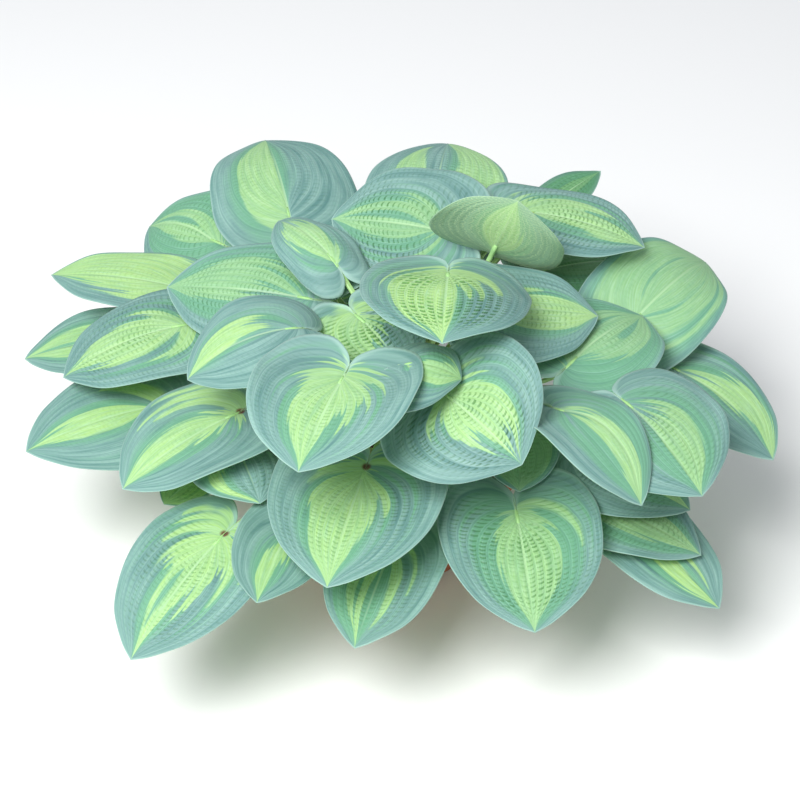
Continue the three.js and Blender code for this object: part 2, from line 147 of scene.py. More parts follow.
leafSettings = [
    dict(base=(42, 4, 306), tip=(35, -112, 318), width=152, arch=40, left=-32, right=-12, steep=0.6,
         limeLeft=(-1, -0.75, -0.12, -0.1, -0.1), limeRight=(0.9, 0.78, 0.64, 0.56, 0.4),
         flames=((-0.62, 0.09, 0, 0.5), (-0.4, 0.07, 0, 0.55), (-0.25, 0.05, 0, 0.5)), yellow=0.8,
         pucker=1.2),
    dict(base=(-56, 75, 259), tip=(-113, 150, 255), width=76, arch=50, left=-45, right=-35, ears=0,
         limeLeft=(-0.8, -0.5, -0.4, -0.55, -0.6), limeRight=(0.8, 0.5, 0.35, 0.5, 0.5), limeTo=0.82,
         yellow=0.3, pucker=0.3),
    dict(base=(-46, -76, 256), tip=(-82, -194, 250), width=144, left=22, right=8, steep=1,
         limeLeft=(-1, -0.75, -0.3, -0.1, -0.06), limeRight=(1, 0.7, 0.42, 0.33, 0.28),
         flames=((-0.4, 0.06, 0, 0.42), (-0.62, 0.05, 0, 0.3)), yellow=0.45, pucker=0.45),
    dict(base=(-84, -11, 255), tip=(-184, -48, 226), width=125, arch=60, left=-15, right=-12, steep=1,
         ears=-0.4, limeLeft=(0.3, 0.3, 0.12, 0, -0.1), limeRight=(0.5, 0.5, 0.52, 0.45, 0.3), limeFrom=0.4,
         yellow=0.7, ragged=0.25, pucker=0.15),
    dict(base=(0, -72, 262), tip=(52, -84, 256), width=110, arch=70, left=-40, right=-25, steep=1,
         limeLeft=(-0.1, -0.1, 0, -0.25, -0.5), limeRight=(0.3, 0.3, 0.35, 0.42, 0.55), yellow=0.4,
         pucker=0.3),
    dict(base=(36, -94, 251), tip=(101, -168, 234), width=148, roll=26, arch=55, left=0, right=-5,
         limeLeft=(-0.9, -0.55, -0.45, -0.42, -0.42), limeRight=(0.8, 0.6, 0.35, 0.1, -0.05), limeTo=0.9,
         flames=((-0.75, 0.05, 0, 0.36),), pucker=0.9),
    dict(base=(84, 88, 264), tip=(104, 71, 333), width=126, roll=-70, arch=-40, left=35, right=-15, ears=0.2,
         limeLeft=(-0.5, -0.4, -0.3, -0.25, -0.2), limeRight=(0.35, 0.3, 0.3, 0.3, 0.3), yellow=0.9,
         pucker=0.3),
    dict(base=(-40, 16, 250), tip=(6, -55, 238), width=98, arch=30, limeLeft=(-1, -0.9, 0.2, 0.3, 0.3),
         limeRight=(1, 1, 0.9, 0.8, 0.5), pucker=1.2),
    dict(base=(-78, 55, 236), tip=(-217, 98, 218), width=126, roll=-20, left=-15, right=-15,
         limeLeft=(0, -0.05, -0.15, -0.3, -0.3), limeRight=(0.3, 0.4, 0.6, 0.6, 0.4), limeFrom=0.3,
         green=0.35, limeness=0.55, ragged=0.5, pucker=0.7),
    dict(base=(130, -78, 220), tip=(199, -182, 202), width=94, arch=75, right=25, rib=-0.3,
         limeLeft=(-0.5, -0.5, -0.42, -0.5, -0.6), limeRight=(0.1, -0.02, -0.05, 0, 0.12), limeFrom=0.24,
         green=0.5, yellow=0.45, limeness=0.9, pucker=0.1),
    dict(base=(70, 5, 262), tip=(178, 23, 242), width=120, roll=12, left=-12, right=-12, ears=0,
         limeLeft=(0, -0.1, -0.22, -0.28, -0.35), limeRight=(0.3, 0.4, 0.38, 0.42, 0.5),
         flames=((-0.38, 0.05, 0.35, 0.6),), yellow=0.6, pucker=0.5),
    dict(base=(45, 116, 268), tip=(-64, 142, 264), width=140, roll=-22,
         limeLeft=(-0.8, -0.6, -0.4, -0.3, -0.2), limeRight=(0.5, 0.5, 0.48, 0.4, 0.3),
         cuts=((0.12, 0.07, 0.2, 0.9), (-0.3, 0.06, 0.1, 0.8)), yellow=0.35, limeness=0.65, ragged=0.6,
         pucker=0.9),
    dict(base=(110, 142, 273), tip=(225, 101, 261), width=105, arch=35, left=-12, right=-12, steep=0.35,
         limeLeft=(-1, -0.8, -0.6, -0.45, -0.3), limeRight=(0.32, 0.25, 0.22, 0.32, 0.35),
         flames=((0.5, 0.1, 0, 0.4),), cuts=((-0.3, 0.06, 0.5, 0.95),), yellow=0.4, pucker=0.8),
    dict(base=(30, 153, 257), tip=(47, 281, 256), width=138, arch=50, limeLeft=(0.2, 0.2, 0.25, 0.25, 0.2),
         limeRight=(1, 1, 1, 0.95, 0.9), flames=((-0.42, 0.25, 0, 0.85),), yellow=0.3, pucker=0.5),
    dict(base=(128, 172, 246), tip=(192, 216, 268), width=52, arch=15, left=5, right=5,
         limeLeft=(-0.5, -0.4, -0.3, -0.2, -0.1), limeRight=(0.5, 0.4, 0.3, 0.3, 0.2), green=0.8,
         limeness=0.4, shade=0.5),
    dict(base=(-195, 77, 190), tip=(-309, 38, 158), width=125, arch=40,
         limeLeft=(-0.9, -0.7, -0.55, -0.35, -0.1), limeRight=(0.8, 0.7, 0.45, 0.25, 0.1),
         cuts=((-0.5, 0.06, 0.2, 0.6),), pucker=0.7),
    dict(base=(-29, -122, 190), tip=(-60, -255, 176), width=150, arch=20, left=6, right=6,
         limeLeft=(-1.1, -0.6, -0.28, -0.22, -0.15), limeRight=(1.1, 0.62, 0.4, 0.42, 0.4),
         flames=((-0.4, 0.05, 0, 0.5), (-0.75, 0.06, 0, 0.32), (0.6, 0.06, 0, 0.42)), yellow=0.55, pucker=0.6,
         spot=1),
    dict(base=(190, -48, 205), tip=(251, -147, 182), width=148, arch=35, left=-12, right=-12, steep=0.45,
         ears=0, limeLeft=(-0.5, -0.5, -0.5, -0.45, -0.4), limeRight=(-0.05, -0.05, -0.02, 0.05, 0.05),
         limeFrom=0.36, green=0.3, limeness=0.75, pucker=0.5),
    dict(base=(146, 6, 195), tip=(222, 92, 187), width=130, roll=3, arch=40, left=8, right=5,
         limeLeft=(-0.7, -0.5, -0.45, -0.4, -0.3), limeRight=(0.1, 0.3, 0.4, 0.6, 0.7),
         cuts=((0.2, 0.06, 0.5, 0.9), (-0.2, 0.05, 0.2, 0.8)), green=1, yellow=0.3, limeness=0.6, pucker=0.3,
         ribs=0.9),
    dict(base=(209, 70, 192), tip=(290, 165, 195), width=118, roll=20, arch=75, left=5, right=5,
         limeLeft=(-0.9, -0.85, -0.85, -0.9, -0.9), limeRight=(0.9, 0.8, 0.8, 0.85, 0.9),
         cuts=((-0.3, 0.02, 0.2, 0.8), (0.35, 0.03, 0, 0.7), (0.7, 0.05, 0.1, 1)), green=0.9, yellow=0.4,
         limeness=0.6, pucker=0.1),
    dict(base=(129, 126, 214), tip=(215, 167, 197), width=90, arch=20, left=-5, right=-5,
         limeLeft=(-0.5, -0.5, -0.4, -0.3, -0.2), limeRight=(0.5, 0.5, 0.4, 0.3, 0.2), green=1, limeness=0.3,
         shade=0.5),
    dict(base=(-141, -54, 195), tip=(-239, -136, 177), width=130, arch=30, left=18, right=-8,
         limeLeft=(-0.8, -0.4, -0.1, -0.12, -0.16), limeRight=(0.9, 0.34, 0.32, 0.32, 0.36),
         flames=((0.62, 0.07, 0, 0.6), (0.76, 0.07, 0, 0.7), (0.92, 0.06, 0, 0.62)), yellow=0.6, pucker=0.15,
         spot=1),
    dict(base=(-146, -70, 176), tip=(-120, -137, 162), width=100, arch=35, left=-60, right=-15,
         limeLeft=(0.4, 0.4, 0.42, 0.5, 0.4), limeRight=(0.7, 0.65, 0.62, 0.8, 0.7), yellow=0.8, ragged=0.05),
    dict(base=(105, -70, 186), tip=(103, -135, 173), width=72, arch=20, left=-5, right=-5,
         limeLeft=(-0.8, -0.8, -0.8, -0.7, -0.6), limeRight=(0.8, 0.8, 0.8, 0.7, 0.6), green=1, yellow=0.3,
         limeness=0.6),
    dict(base=(100, -134, 152), tip=(112, -255, 125), width=140, left=14, right=12,
         limeLeft=(-0.8, -0.65, -0.45, -0.35, -0.3), limeRight=(0.65, 0.55, 0.34, 0.26, 0.25),
         flames=((-0.72, 0.05, 0, 0.56),), green=0.35, yellow=0.35, limeness=0.85, ragged=0.22, pucker=1,
         ribs=0.7),
    dict(base=(150, -80, 165), tip=(253, -131, 148), width=105, left=-8, right=-8,
         limeLeft=(-0.7, -0.7, -0.7, -0.65, -0.4), limeRight=(0, 0, 0, 0, 0.1), green=0.4),
    dict(base=(-197, 143, 179), tip=(-335, 168, 179), width=96, left=-5, right=-5,
         limeLeft=(-0.6, -0.68, -0.62, -0.5, -0.2), limeRight=(0.75, 0.75, 0.85, 1, 1), yellow=0.7,
         ragged=0.5, pucker=0.2),
    dict(base=(-104, 180, 235), tip=(-135, 319, 235), width=142, arch=45, left=-8, right=-8,
         limeLeft=(-1, -0.75, -0.6, -0.5, -0.45), limeRight=(0, 0, 0, 0, 0), cuts=((0.03, 0.02, 0.1, 1),),
         yellow=0.25, ragged=0.05, pucker=0.3),
    dict(base=(-170, 196, 194), tip=(-250, 256, 174), width=115, roll=-25, arch=50, rib=0.1,
         limeLeft=(-0.3, -0.3, -0.2, -0.1, 0), limeRight=(0.6, 0.5, 0.5, 0.4, 0.4),
         cuts=((-0.35, 0.1, 0.3, 0.9), (0.2, 0.07, 0.35, 1)), green=0.6, yellow=0.3, limeness=0.75,
         pucker=0.5),
    dict(base=(245, 30, 180), tip=(331, -78, 159), width=104, arch=42, rib=-0.1,
         limeLeft=(-0.4, -0.4, -0.5, -0.72, -0.85), limeRight=(0, 0, 0, -0.1, -0.25), limeFrom=0.35,
         pucker=0.2),
    dict(base=(-215, 10, 150), tip=(-336, -48, 143), width=135, left=-20, right=-5,
         limeLeft=(-0.3, -0.28, -0.25, -0.2, -0.1), limeRight=(0.25, 0.25, 0.25, 0.2, 0.1),
         flames=((0.6, 0.12, 0, 0.5), (-0.72, 0.08, 0.1, 0.5)), yellow=0.7, pucker=0.15),
    dict(base=(-92, -146, 150), tip=(-119, -232, 138), width=84, arch=15, left=0, right=0,
         limeLeft=(-0.3, -0.3, -0.25, -0.1, -0.1), limeRight=(0.1, 0.1, 0.15, 0.3, 0.3), yellow=0.6,
         pucker=0.1, shade=0.15),
    dict(base=(-150, -168, 155), tip=(-223, -282, 119), width=122, arch=30, left=0, right=0, ears=0,
         limeLeft=(-1, -0.95, -0.3, -0.05, -0.05), limeRight=(1, 0.8, 0.3, 0.25, 0.2),
         flames=((0.5, 0.06, 0, 0.52), (0.68, 0.07, 0, 0.45), (0.86, 0.06, 0, 0.38), (-0.55, 0.05, 0, 0.6),
                 (-0.72, 0.05, 0, 0.5)),
         cuts=((0.12, 0.05, 0.35, 0.8),), yellow=0.6, pucker=0.6, spot=1),
    dict(base=(-2, -160, 145), tip=(-38, -268, 118), width=102, left=0, right=0,
         limeLeft=(-0.1, 0, 0.08, 0.1, 0.1), limeRight=(0.6, 0.55, 0.5, 0.45, 0.3),
         flames=((-0.28, 0.09, 0, 0.85), (-0.55, 0.04, 0, 0.6)), cuts=((0.27, 0.04, 0.2, 0.9),), green=0.35,
         shade=0.1),
    dict(base=(155, -105, 145), tip=(261, -165, 126), width=100, left=-5, right=-5,
         limeLeft=(-0.3, -0.3, -0.35, -0.4, -0.3), limeRight=(0.5, 0.5, 0.45, 0.35, 0.3), green=0.3,
         yellow=0.4, limeness=0.8),
    dict(base=(-176, -80, 146), tip=(-208, -113, 138), width=55, arch=20, left=0, right=0,
         limeLeft=(-0.9, -0.9, -0.9, -0.9, -0.9), limeRight=(0.9, 0.9, 0.9, 0.9, 0.9), yellow=0.9,
         shade=0.45),
    dict(base=(-240, 108, 152), tip=(-357, 92, 137), width=105, left=-5, right=-5,
         limeLeft=(-0.4, -0.4, -0.4, -0.38, -0.3), limeRight=(0.46, 0.46, 0.46, 0.46, 0.4),
         cuts=((0.02, 0.06, 0.3, 1),), yellow=0.45, pucker=0.1),
    dict(base=(190, -110, 130), tip=(274, -208, 104), width=95, left=-5, right=-5,
         limeLeft=(-0.05, -0.05, -0.04, 0, 0.05), limeRight=(0.35, 0.35, 0.33, 0.4, 0.5),
         flames=((-0.23, 0.07, 0, 0.86),), yellow=0.9, pucker=0.1),
    dict(base=(-20, 172, 198), tip=(-40, 292, 165), width=115),
    dict(base=(95, 165, 215), tip=(115, 288, 180), width=120),
    dict(base=(185, 120, 190), tip=(275, 195, 150), width=115),
    dict(base=(-140, 150, 158), tip=(-220, 250, 118), width=105),
    dict(base=(25, 165, 165), tip=(30, 285, 115), width=120),
    dict(base=(-60, 165, 150), tip=(-100, 278, 100), width=110),
    dict(base=(120, 130, 160), tip=(195, 225, 110), width=115),
    dict(base=(185, 45, 150), tip=(300, 80, 115), width=110, arch=35),
    dict(base=(-190, 60, 140), tip=(-295, 125, 105), width=105, arch=35),
]
hiddenFrom = 39  # the leaves from this one on are hidden from the front, and their blades are coarser
hiddenLeaf = dict(arch=40, left=-8, right=-8, limeLeft=(-0.9, -0.65, -0.35, -0.25, -0.2),
                  limeRight=(0.85, 0.6, 0.3, 0.25, 0.2))

bladeSettings = {
    "thickness": 0.9,  # as in the CAD blade, thinned within edgeRun of the margin
    "edgeThickness": 0.4,
    "edgeRun": 4,
    "stalkHalf": 0.3,  # half the thickness at the stalk and at the tip
    "tipHalf": 0.2,
    "liftSlope": 40,  # degrees, the way in which the CAD source lifts a leaf off those below it
    "leastLift": 0.8,
    "earFrom": 0.15,
    "veinSpacing": 8,  # mm between side veins at the widest place
    "fewestVeins": 5,
    "mostVeins": 9,
    "columnsPerVein": 6,
    "hiddenColumnsPerVein": 3,
    "rowSpacing": 1.7,
    "rowCloser": 0.75,  # a puckered leaf has its rows closer
    "hiddenRowSpacing": 3,
    "seed": 41,
}
markSettings = {
    "streaksPerVein": 4,
    "point": 0.35,  # how much further a streak runs in its middle
    "jitter": 0.03,
    "slope": 0.6,  # the lime fades over a longer way along the leaf than across it
    "greenUneven": 2.2,
    "stalkZone": 0.25,  # near the stalk the lime may reach the margin, and near the tip it does
    "tipZone": 0.3,
    "rim": 4,  # mm of blue that is left along the margin elsewhere
    "stalkRim": 0.15,
    "limeEdge": 0.06,
    "greenEdge": 0.2,
    "noSpot": 99.0,
    "streakEnd": 0.5,  # a single streak narrows over this share of its length at its end
    "streakStart": 0.3,
    "streakPoint": 0.6,
    "streakOutside": -0.05,
    "bareEdge": 3,  # mm that hide the pale edge line where the blade meets the stalk
    "bareReach": 0.05,
    "noiseShift": 50,
}
reliefSettings = {
    "ribHeight": 0.045,  # share of the distance between two veins
    "ribRound": 0.45,
    "ribSink": 0.6,
    "puckerLength": 4.6,
    "puckerHeight": 1.5,
    "puckerLean": 1.7,
    "puckerRound": 0.6,
    "puckerSink": 0.4,
    "puckersBehind": 4,  # the ears reach behind the stalk, where the count of puckers starts
    "puckerShift": 0.6,
    "puckerUneven": 0.3,
    "puckerDrift": (0.5, 0.9),
    "puckerChance": (0.5, 1),  # how high one pucker is beside another
    "puckerShade": 0.4,  # the least share of its painted shade that a low one has
    "puckerSlant": 0.4,  # each lane of puckers starts a little nearer the stalk than the one inside it
    "puckerBow": 0.3,
    "fullSpacing": 5.5,  # mm between two veins where the puckers have their full height
    "puckerFrom": 0.1,
    "marginCalm": 0.75,
    "patchMean": 0.75,  # some patches of the leaf are puckered more than others
    "patchSwing": 0.5,
    "patchLeast": 0.2,
    "patchWaves": ((3.1, 7), (5, -4)),
    "midribDepth": 1.0,
    "midribWidth": 2.6,
    "midribFade": 0.7,
    "midribFrom": 0.05,
    "waveHeight": 1.8,
    "waveTurns": (2.2, 3.4),
    "waveStalkCalm": 0.15,
    "waveTipCalm": 0.25,
}

# A leaf's right margin from the stalk to the tip, in shares of half its width and of its length
heartMargin = np.array([
    (0, 0), (0.05, -0.16), (0.36, -0.28), (0.76, -0.21), (0.98, 0.02),
    (1, 0.27), (0.91, 0.52), (0.67, 0.75), (0.28, 0.92), (0, 1),
])
coarseAcross = np.array([-1, -0.66, -0.32, 0, 0.32, 0.66, 1])  # the CAD blade's lanes
coarseAlong = np.array([0.11, 0.25, 0.42, 0.6, 0.78])  # and its rows


# The same smooth curve through the margin's points as in the CAD source
def marginAt(along):
    last = len(heartMargin) - 1
    place = np.clip(along, 0, 1) * last
    first = np.minimum(place.astype(int), last - 1)
    w = (place - first)[..., None]
    before, start, end, after = (heartMargin[np.clip(first + k, 0, last)] for k in (-1, 0, 1, 2))
    leaving, arriving = (end - before) / 2, (after - start) / 2
    cubic = 2 * start - 2 * end + leaving + arriving
    square = 3 * end - 3 * start - 2 * leaving - arriving
    return cubic * w**3 + square * w**2 + leaving * w + start


def leafFrame(leaf):
    base, tip = np.array(leaf["base"], float), np.array(leaf["tip"], float)
    chord = np.linalg.norm(tip - base)
    forward = (tip - base) / chord
    level = np.cross(forward, (0, 0, 1))
    level /= np.linalg.norm(level)
    roll = math.radians(leaf["roll"])
    right = level * math.cos(roll) + np.cross(forward, level) * math.sin(roll)
    return base, chord, forward, right, np.cross(right, forward)


# Points of a blade, with their distance from the midrib and along the leaf. Below sets them lower, in mm.
def bladePoints(leaf, across, along, below=0.0):
    across, along = np.broadcast_arrays(np.asarray(across, float), np.asarray(along, float))
    base, chord, forward, right, up = leafFrame(leaf)
    bend = math.radians(leaf["arch"])
    length = chord * (bend / 2) / math.sin(bend / 2)
    half = leaf["width"] / 2
    margin = marginAt(along)
    side = across * margin[..., 0] * half
    reach = ((1 - across**2) * along + across**2 * margin[..., 1]) * length
    turn = np.radians(np.where(across < 0, leaf["left"], leaf["right"])) + 1e-6  # never quite flat
    angle = turn * abs(side) / half
    out = np.sign(side) * (half / turn) * np.sin(angle)
    behind = np.maximum(0, bladeSettings["earFrom"] - reach / length)
    ears = leaf["ears"] * length * behind**2 * across**2
    lift = (half / turn) * (1 - np.cos(angle)) + ears - below
    slope = bend / 2 - bend * reach / length
    radius = length / bend
    alongChord = radius * (math.sin(bend / 2) - np.sin(slope))
    aboveChord = radius * (np.cos(slope) - math.cos(bend / 2))
    points = (
        base
        + forward * (alongChord - lift * np.sin(slope))[..., None]
        + up * (aboveChord + lift * np.cos(slope))[..., None]
        + right * out[..., None]
    )
    return points, side, reach


# The CAD source lifts each leaf clear of those below, up and to the front. Its node's box tells by how
# much: at its top, and at its front or back, whichever the leaf points to.
def settleLeaf(leaf, node):
    rows = bladePoints(leaf, coarseAcross[None, :], coarseAlong[:, None])[0].reshape(-1, 3)
    ends = bladePoints(leaf, np.zeros(2), np.array([0.0, 1.0]))[0]
    places = np.vstack([rows, ends])
    low, high = (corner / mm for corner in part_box(node))
    slope = math.radians(bladeSettings["liftSlope"])
    byTop = (high.z - places[:, 2].max() - bladeSettings["thickness"] / 2) / math.sin(slope)
    farthest = places[:, 1].max() - high.y if leaf["base"][1] > 0 else places[:, 1].min() - low.y
    lift = min(byTop, farthest / math.cos(slope))
    if lift > bladeSettings["leastLift"]:
        moved = lift * np.array([0, -math.cos(slope), math.sin(slope)])
        leaf["base"] = tuple(np.array(leaf["base"]) + moved)
        leaf["tip"] = tuple(np.array(leaf["tip"]) + moved)


# How far inside the lime centre each point lies: above nought it is lime, below it isn't
def limeField(leaf, across, along, streak, reachOut, unevenness):
    stops = (0, 0.25, 0.5, 0.75, 1)
    slope = markSettings["slope"]
    jittered = along + leaf["ragged"] * unevenness * streak
    left = np.interp(jittered, stops, leaf["limeLeft"]) - reachOut
    right = np.interp(jittered, stops, leaf["limeRight"]) + reachOut
    field = np.minimum(across - left, right - across)
    field = np.minimum(field, slope * (jittered - leaf["limeFrom"]))
    return np.minimum(field, slope * (leaf["limeTo"] - jittered))


# A pointed streak along the veins: above nought inside it
def streakField(streak, across, along):
    centre, halfWidth, start, end = streak
    s, span = markSettings, end - start
    taper = np.clip((end - along) / (s["streakEnd"] * span), 0, 1) ** s["streakPoint"]
    if start > 0:
        taper = taper * np.clip((along - start) / (s["streakStart"] * span), 0, 1) ** s["streakPoint"]
    inside = (along > start) & (along < end)
    return np.where(inside, halfWidth * taper, s["streakOutside"]) - abs(across - centre)


# Where the lime centre and the green wash lie, and a chance value for each streak
def bladeMarks(leaf, across, along, vein, veins, edge, rng):
    s = markSettings
    streaks = s["streaksPerVein"] * veins + 2
    place = (vein + 1) / 2 * (streaks - 1)
    index = np.clip(np.floor(place).astype(int), 0, streaks - 1)
    pointed = abs(2 * (place - index) - 1) * s["point"]
    uneven = rng.uniform(-0.5, 0.5, streaks)[index] + pointed
    jitter = rng.uniform(-s["jitter"], s["jitter"], streaks)[index]
    lime = limeField(leaf, across + jitter, along, uneven, 0, 1)
    for flame in leaf["flames"]:
        lime = np.maximum(lime, streakField(flame, across, along))
    for cut in leaf["cuts"]:
        lime = np.minimum(lime, -streakField(cut, across, along))
    nearStalk = np.clip(1 - along / s["stalkZone"], 0, 1)
    rim = edge - s["rim"] * np.clip((1 - along) / s["tipZone"], 0, 1) * (1 - nearStalk)
    rim = rim / (leaf["width"] / 2) + s["stalkRim"] * nearStalk
    lime = np.minimum(lime, rim)
    uneven = rng.uniform(-0.5, 0.5, streaks)[index] + pointed
    wash = np.maximum(lime, limeField(leaf, across, along, uneven, leaf["green"], s["greenUneven"]))
    wash = np.minimum(wash, rim)
    chance = rng.uniform(0, 1, streaks)[index]
    return np.clip(lime / s["limeEdge"], -1, 1), np.clip(wash / s["greenEdge"], -1, 1), chance


# Height of the relief over the smooth blade: sunken veins, a row of puckers between each two of them,
# a trough along the midrib and a wavy margin. With it, the place in the row of puckers, counted in
# puckers, and how strong they are there. A pucker rises slowly and falls off steeply towards the tip.
def bladeRelief(leaf, across, along, vein, veins, side, reach, rng):
    s = reliefSettings
    lane = vein * veins
    between = abs(np.sin(np.pi * lane))
    spacing = leaf["width"] / 2 / veins * np.clip(marginAt(along)[..., 0], 0, 1)
    height = leaf["ribs"] * s["ribHeight"] * 2 * spacing * (between ** s["ribRound"] - s["ribSink"])
    lanes = 2 * veins + 2
    index = np.clip(np.floor(lane).astype(int) + veins, 0, lanes - 1)
    place = reach / s["puckerLength"] + s["puckersBehind"]
    place = place + s["puckerShift"] * rng.uniform(0, 1, lanes)[index]
    place = place + s["puckerSlant"] * abs(lane) + s["puckerBow"] * (1 - between)
    place = place + s["puckerUneven"] * np.sin(place * rng.uniform(*s["puckerDrift"], lanes)[index] + index)
    count = int(place.max()) + 2
    chances = rng.uniform(*s["puckerChance"], (lanes, count))
    chance = chances[index, np.clip(place.astype(int), 0, count - 1)]
    zone = np.clip(spacing / s["fullSpacing"], 0, 1) * np.clip(along / s["puckerFrom"], 0, 1)
    zone = zone * (1 - s["marginCalm"] * abs(across) ** 3)
    (a, b), (c, d) = s["patchWaves"]
    patches = np.sin(a * across + b * along + rng.uniform(0, 6)) * np.sin(c * across + d * along)
    patches = np.clip(s["patchMean"] + s["patchSwing"] * patches, s["patchLeast"], 1)
    strength = leaf["pucker"] * zone * patches
    pillow = np.sin(np.pi * (place % 1) ** s["puckerLean"])
    bulge = between ** s["puckerRound"] * pillow * chance - s["puckerSink"]
    height = height + s["puckerHeight"] * strength * bulge
    groove = np.exp(-((side / s["midribWidth"]) ** 2)) * (1 - s["midribFade"] * along)
    height = height - s["midribDepth"] * groove * np.clip(along / s["midribFrom"], 0, 1)
    phase = rng.uniform(0, 2 * math.pi, 2)
    turns = rng.uniform(*s["waveTurns"], 2)
    wave = np.where(across < 0, np.sin(turns[0] * 2 * np.pi * along + phase[0]),
                    np.sin(turns[1] * 2 * np.pi * along + phase[1]))
    calm = np.clip(along / s["waveStalkCalm"], 0, 1) * np.clip((1 - along) / s["waveTipCalm"], 0, 1)
    height = height + s["waveHeight"] * wave * abs(across) ** 4 * calm
    return height, place, strength * (s["puckerShade"] + (1 - s["puckerShade"]) * chance)


def gridNormals(points):
    normals = np.cross(np.gradient(points, axis=1), np.gradient(points, axis=0))
    return normals / np.maximum(np.linalg.norm(normals, axis=-1, keepdims=True), 1e-9)


# A closed blade: a fine upper face, and a lower face with every second row and column of it
def makeBlade(leaf, number, rng):
    s = bladeSettings
    half = leaf["width"] / 2
    veins = int(np.clip(round(half / s["veinSpacing"]), s["fewestVeins"], s["mostVeins"]))
    perVein, spacing = s["columnsPerVein"], s["rowSpacing"] - s["rowCloser"] * min(leaf["pucker"], 1)
    if number >= hiddenFrom:
        perVein, spacing = s["hiddenColumnsPerVein"], s["hiddenRowSpacing"]
    columns = 2 * veins * perVein
    rows = 2 * int(round(leafFrame(leaf)[1] / spacing / 2))
    vein = np.linspace(-1, 1, columns + 1)[None, :]
    across = leaf["rib"] + vein * np.where(vein > 0, 1 - leaf["rib"], 1 + leaf["rib"])
    along = np.linspace(0, 1, rows + 1)[:, None]
    across, along, vein = np.broadcast_arrays(across, along, vein)
    points, side, reach = bladePoints(leaf, across, along)
    edge = (1 - abs(across)) * marginAt(along)[..., 0] * half
    normals = gridNormals(points)
    ribSide = abs(side - leaf["rib"] * half * marginAt(along)[..., 0])
    height, puckerPlace, puckerStrength = bladeRelief(leaf, across, along, vein, veins, ribSide, reach, rng)
    thick = s["edgeThickness"] + (s["thickness"] - s["edgeThickness"]) * np.clip(edge / s["edgeRun"], 0, 1)
    top = points + normals * (height + thick / 2)[..., None]
    bottom = points + normals * (height - thick / 2)[..., None]
    stalkUp, tipUp = normals[1].mean(0) * s["stalkHalf"], normals[rows - 1].mean(0) * s["tipHalf"]
    start, end = points[0, 0], points[rows, 0]
    lime, wash, chance = bladeMarks(leaf, across, along, vein, veins, edge, rng)
    nought, m = np.zeros_like(edge), markSettings
    fromBase = np.hypot(side, reach) if leaf["spot"] else nought + m["noSpot"]
    edgePlace = edge + m["bareEdge"] * np.clip(1 - along / m["bareReach"], 0, 1)
    fields = {
        "veinPlace": (vein * veins, reach, nought + rng.uniform(0, m["noiseShift"])),
        "tones": (lime, wash, chance),
        "marks": (edgePlace, nought + 1, fromBase),
        "tint": tuple(nought + leaf[name] for name in ("yellow", "limeness", "shade")),
        "spine": (ribSide, along, nought),
        "puckers": (puckerPlace, puckerStrength, nought),
    }
    lowRows, lowColumns = np.arange(1, rows, 2), np.arange(0, columns + 1, 2)
    low = np.ix_(lowRows, lowColumns)
    ends = [start + stalkUp, end + tipUp, start - stalkUp, end - tipUp]
    places = np.vstack([top[1:rows].reshape(-1, 3), bottom[low].reshape(-1, 3), ends])
    marks = {}
    for name, parts in fields.items():
        field = np.stack(parts, axis=-1)
        under = field[low].copy()
        tail = np.array([field[0, 0], field[rows, columns // 2]] * 2)
        if name == "marks":  # its second value tells the upper face from the lower
            under[..., 1] = -1
            tail[2:, 1] = -1
        marks[name] = np.vstack([field[1:rows].reshape(-1, 3), under.reshape(-1, 3), tail])
    return places, bladeFaces(rows, columns, len(lowRows), len(lowColumns)), marks


# The upper grid of points comes first, then the lower one, then the ends at the stalk and the tip
def bladeFaces(rows, columns, lowRows, lowColumns):
    wide = columns + 1
    topCount = (rows - 1) * wide
    faces = []
    for r in range(rows - 2):
        row = np.arange(columns) + r * wide
        faces += np.stack([row, row + 1, row + 1 + wide, row + wide], 1).tolist()
    for r in range(lowRows - 1):
        row = topCount + np.arange(lowColumns - 1) + r * lowColumns
        faces += np.stack([row, row + lowColumns, row + lowColumns + 1, row + 1], 1).tolist()
    lowCount = lowRows * lowColumns
    baseTop, tipTop, baseLow, tipLow = (topCount + lowCount + k for k in range(4))
    lastTop = (rows - 2) * wide
    lastLow = topCount + (lowRows - 1) * lowColumns
    for c in range(columns):
        faces.append([baseTop, c + 1, c])
        faces.append([tipTop, lastTop + c, lastTop + c + 1])
    for c in range(lowColumns - 1):
        faces.append([baseLow, topCount + c, topCount + c + 1])
        faces.append([tipLow, lastLow + c + 1, lastLow + c])
    for k in range(lowRows - 1):
        for column, lowColumn, flip in ((0, 0, False), (columns, lowColumns - 1, True)):
            a, b, c = (column + (2 * k + j) * wide for j in range(3))
            d = topCount + k * lowColumns + lowColumn
            e = d + lowColumns
            strip = [[a, b, d], [b, e, d], [b, c, e]]
            faces += [face[::-1] for face in strip] if flip else strip
    rightLow = topCount + lowColumns - 1
    faces += [
        [baseTop, 0, topCount, baseLow], [baseTop, baseLow, rightLow, columns],
        [tipTop, tipLow, lastLow, lastTop],
        [tipTop, lastTop + columns, lastLow + lowColumns - 1, tipLow],
    ]
    return faces


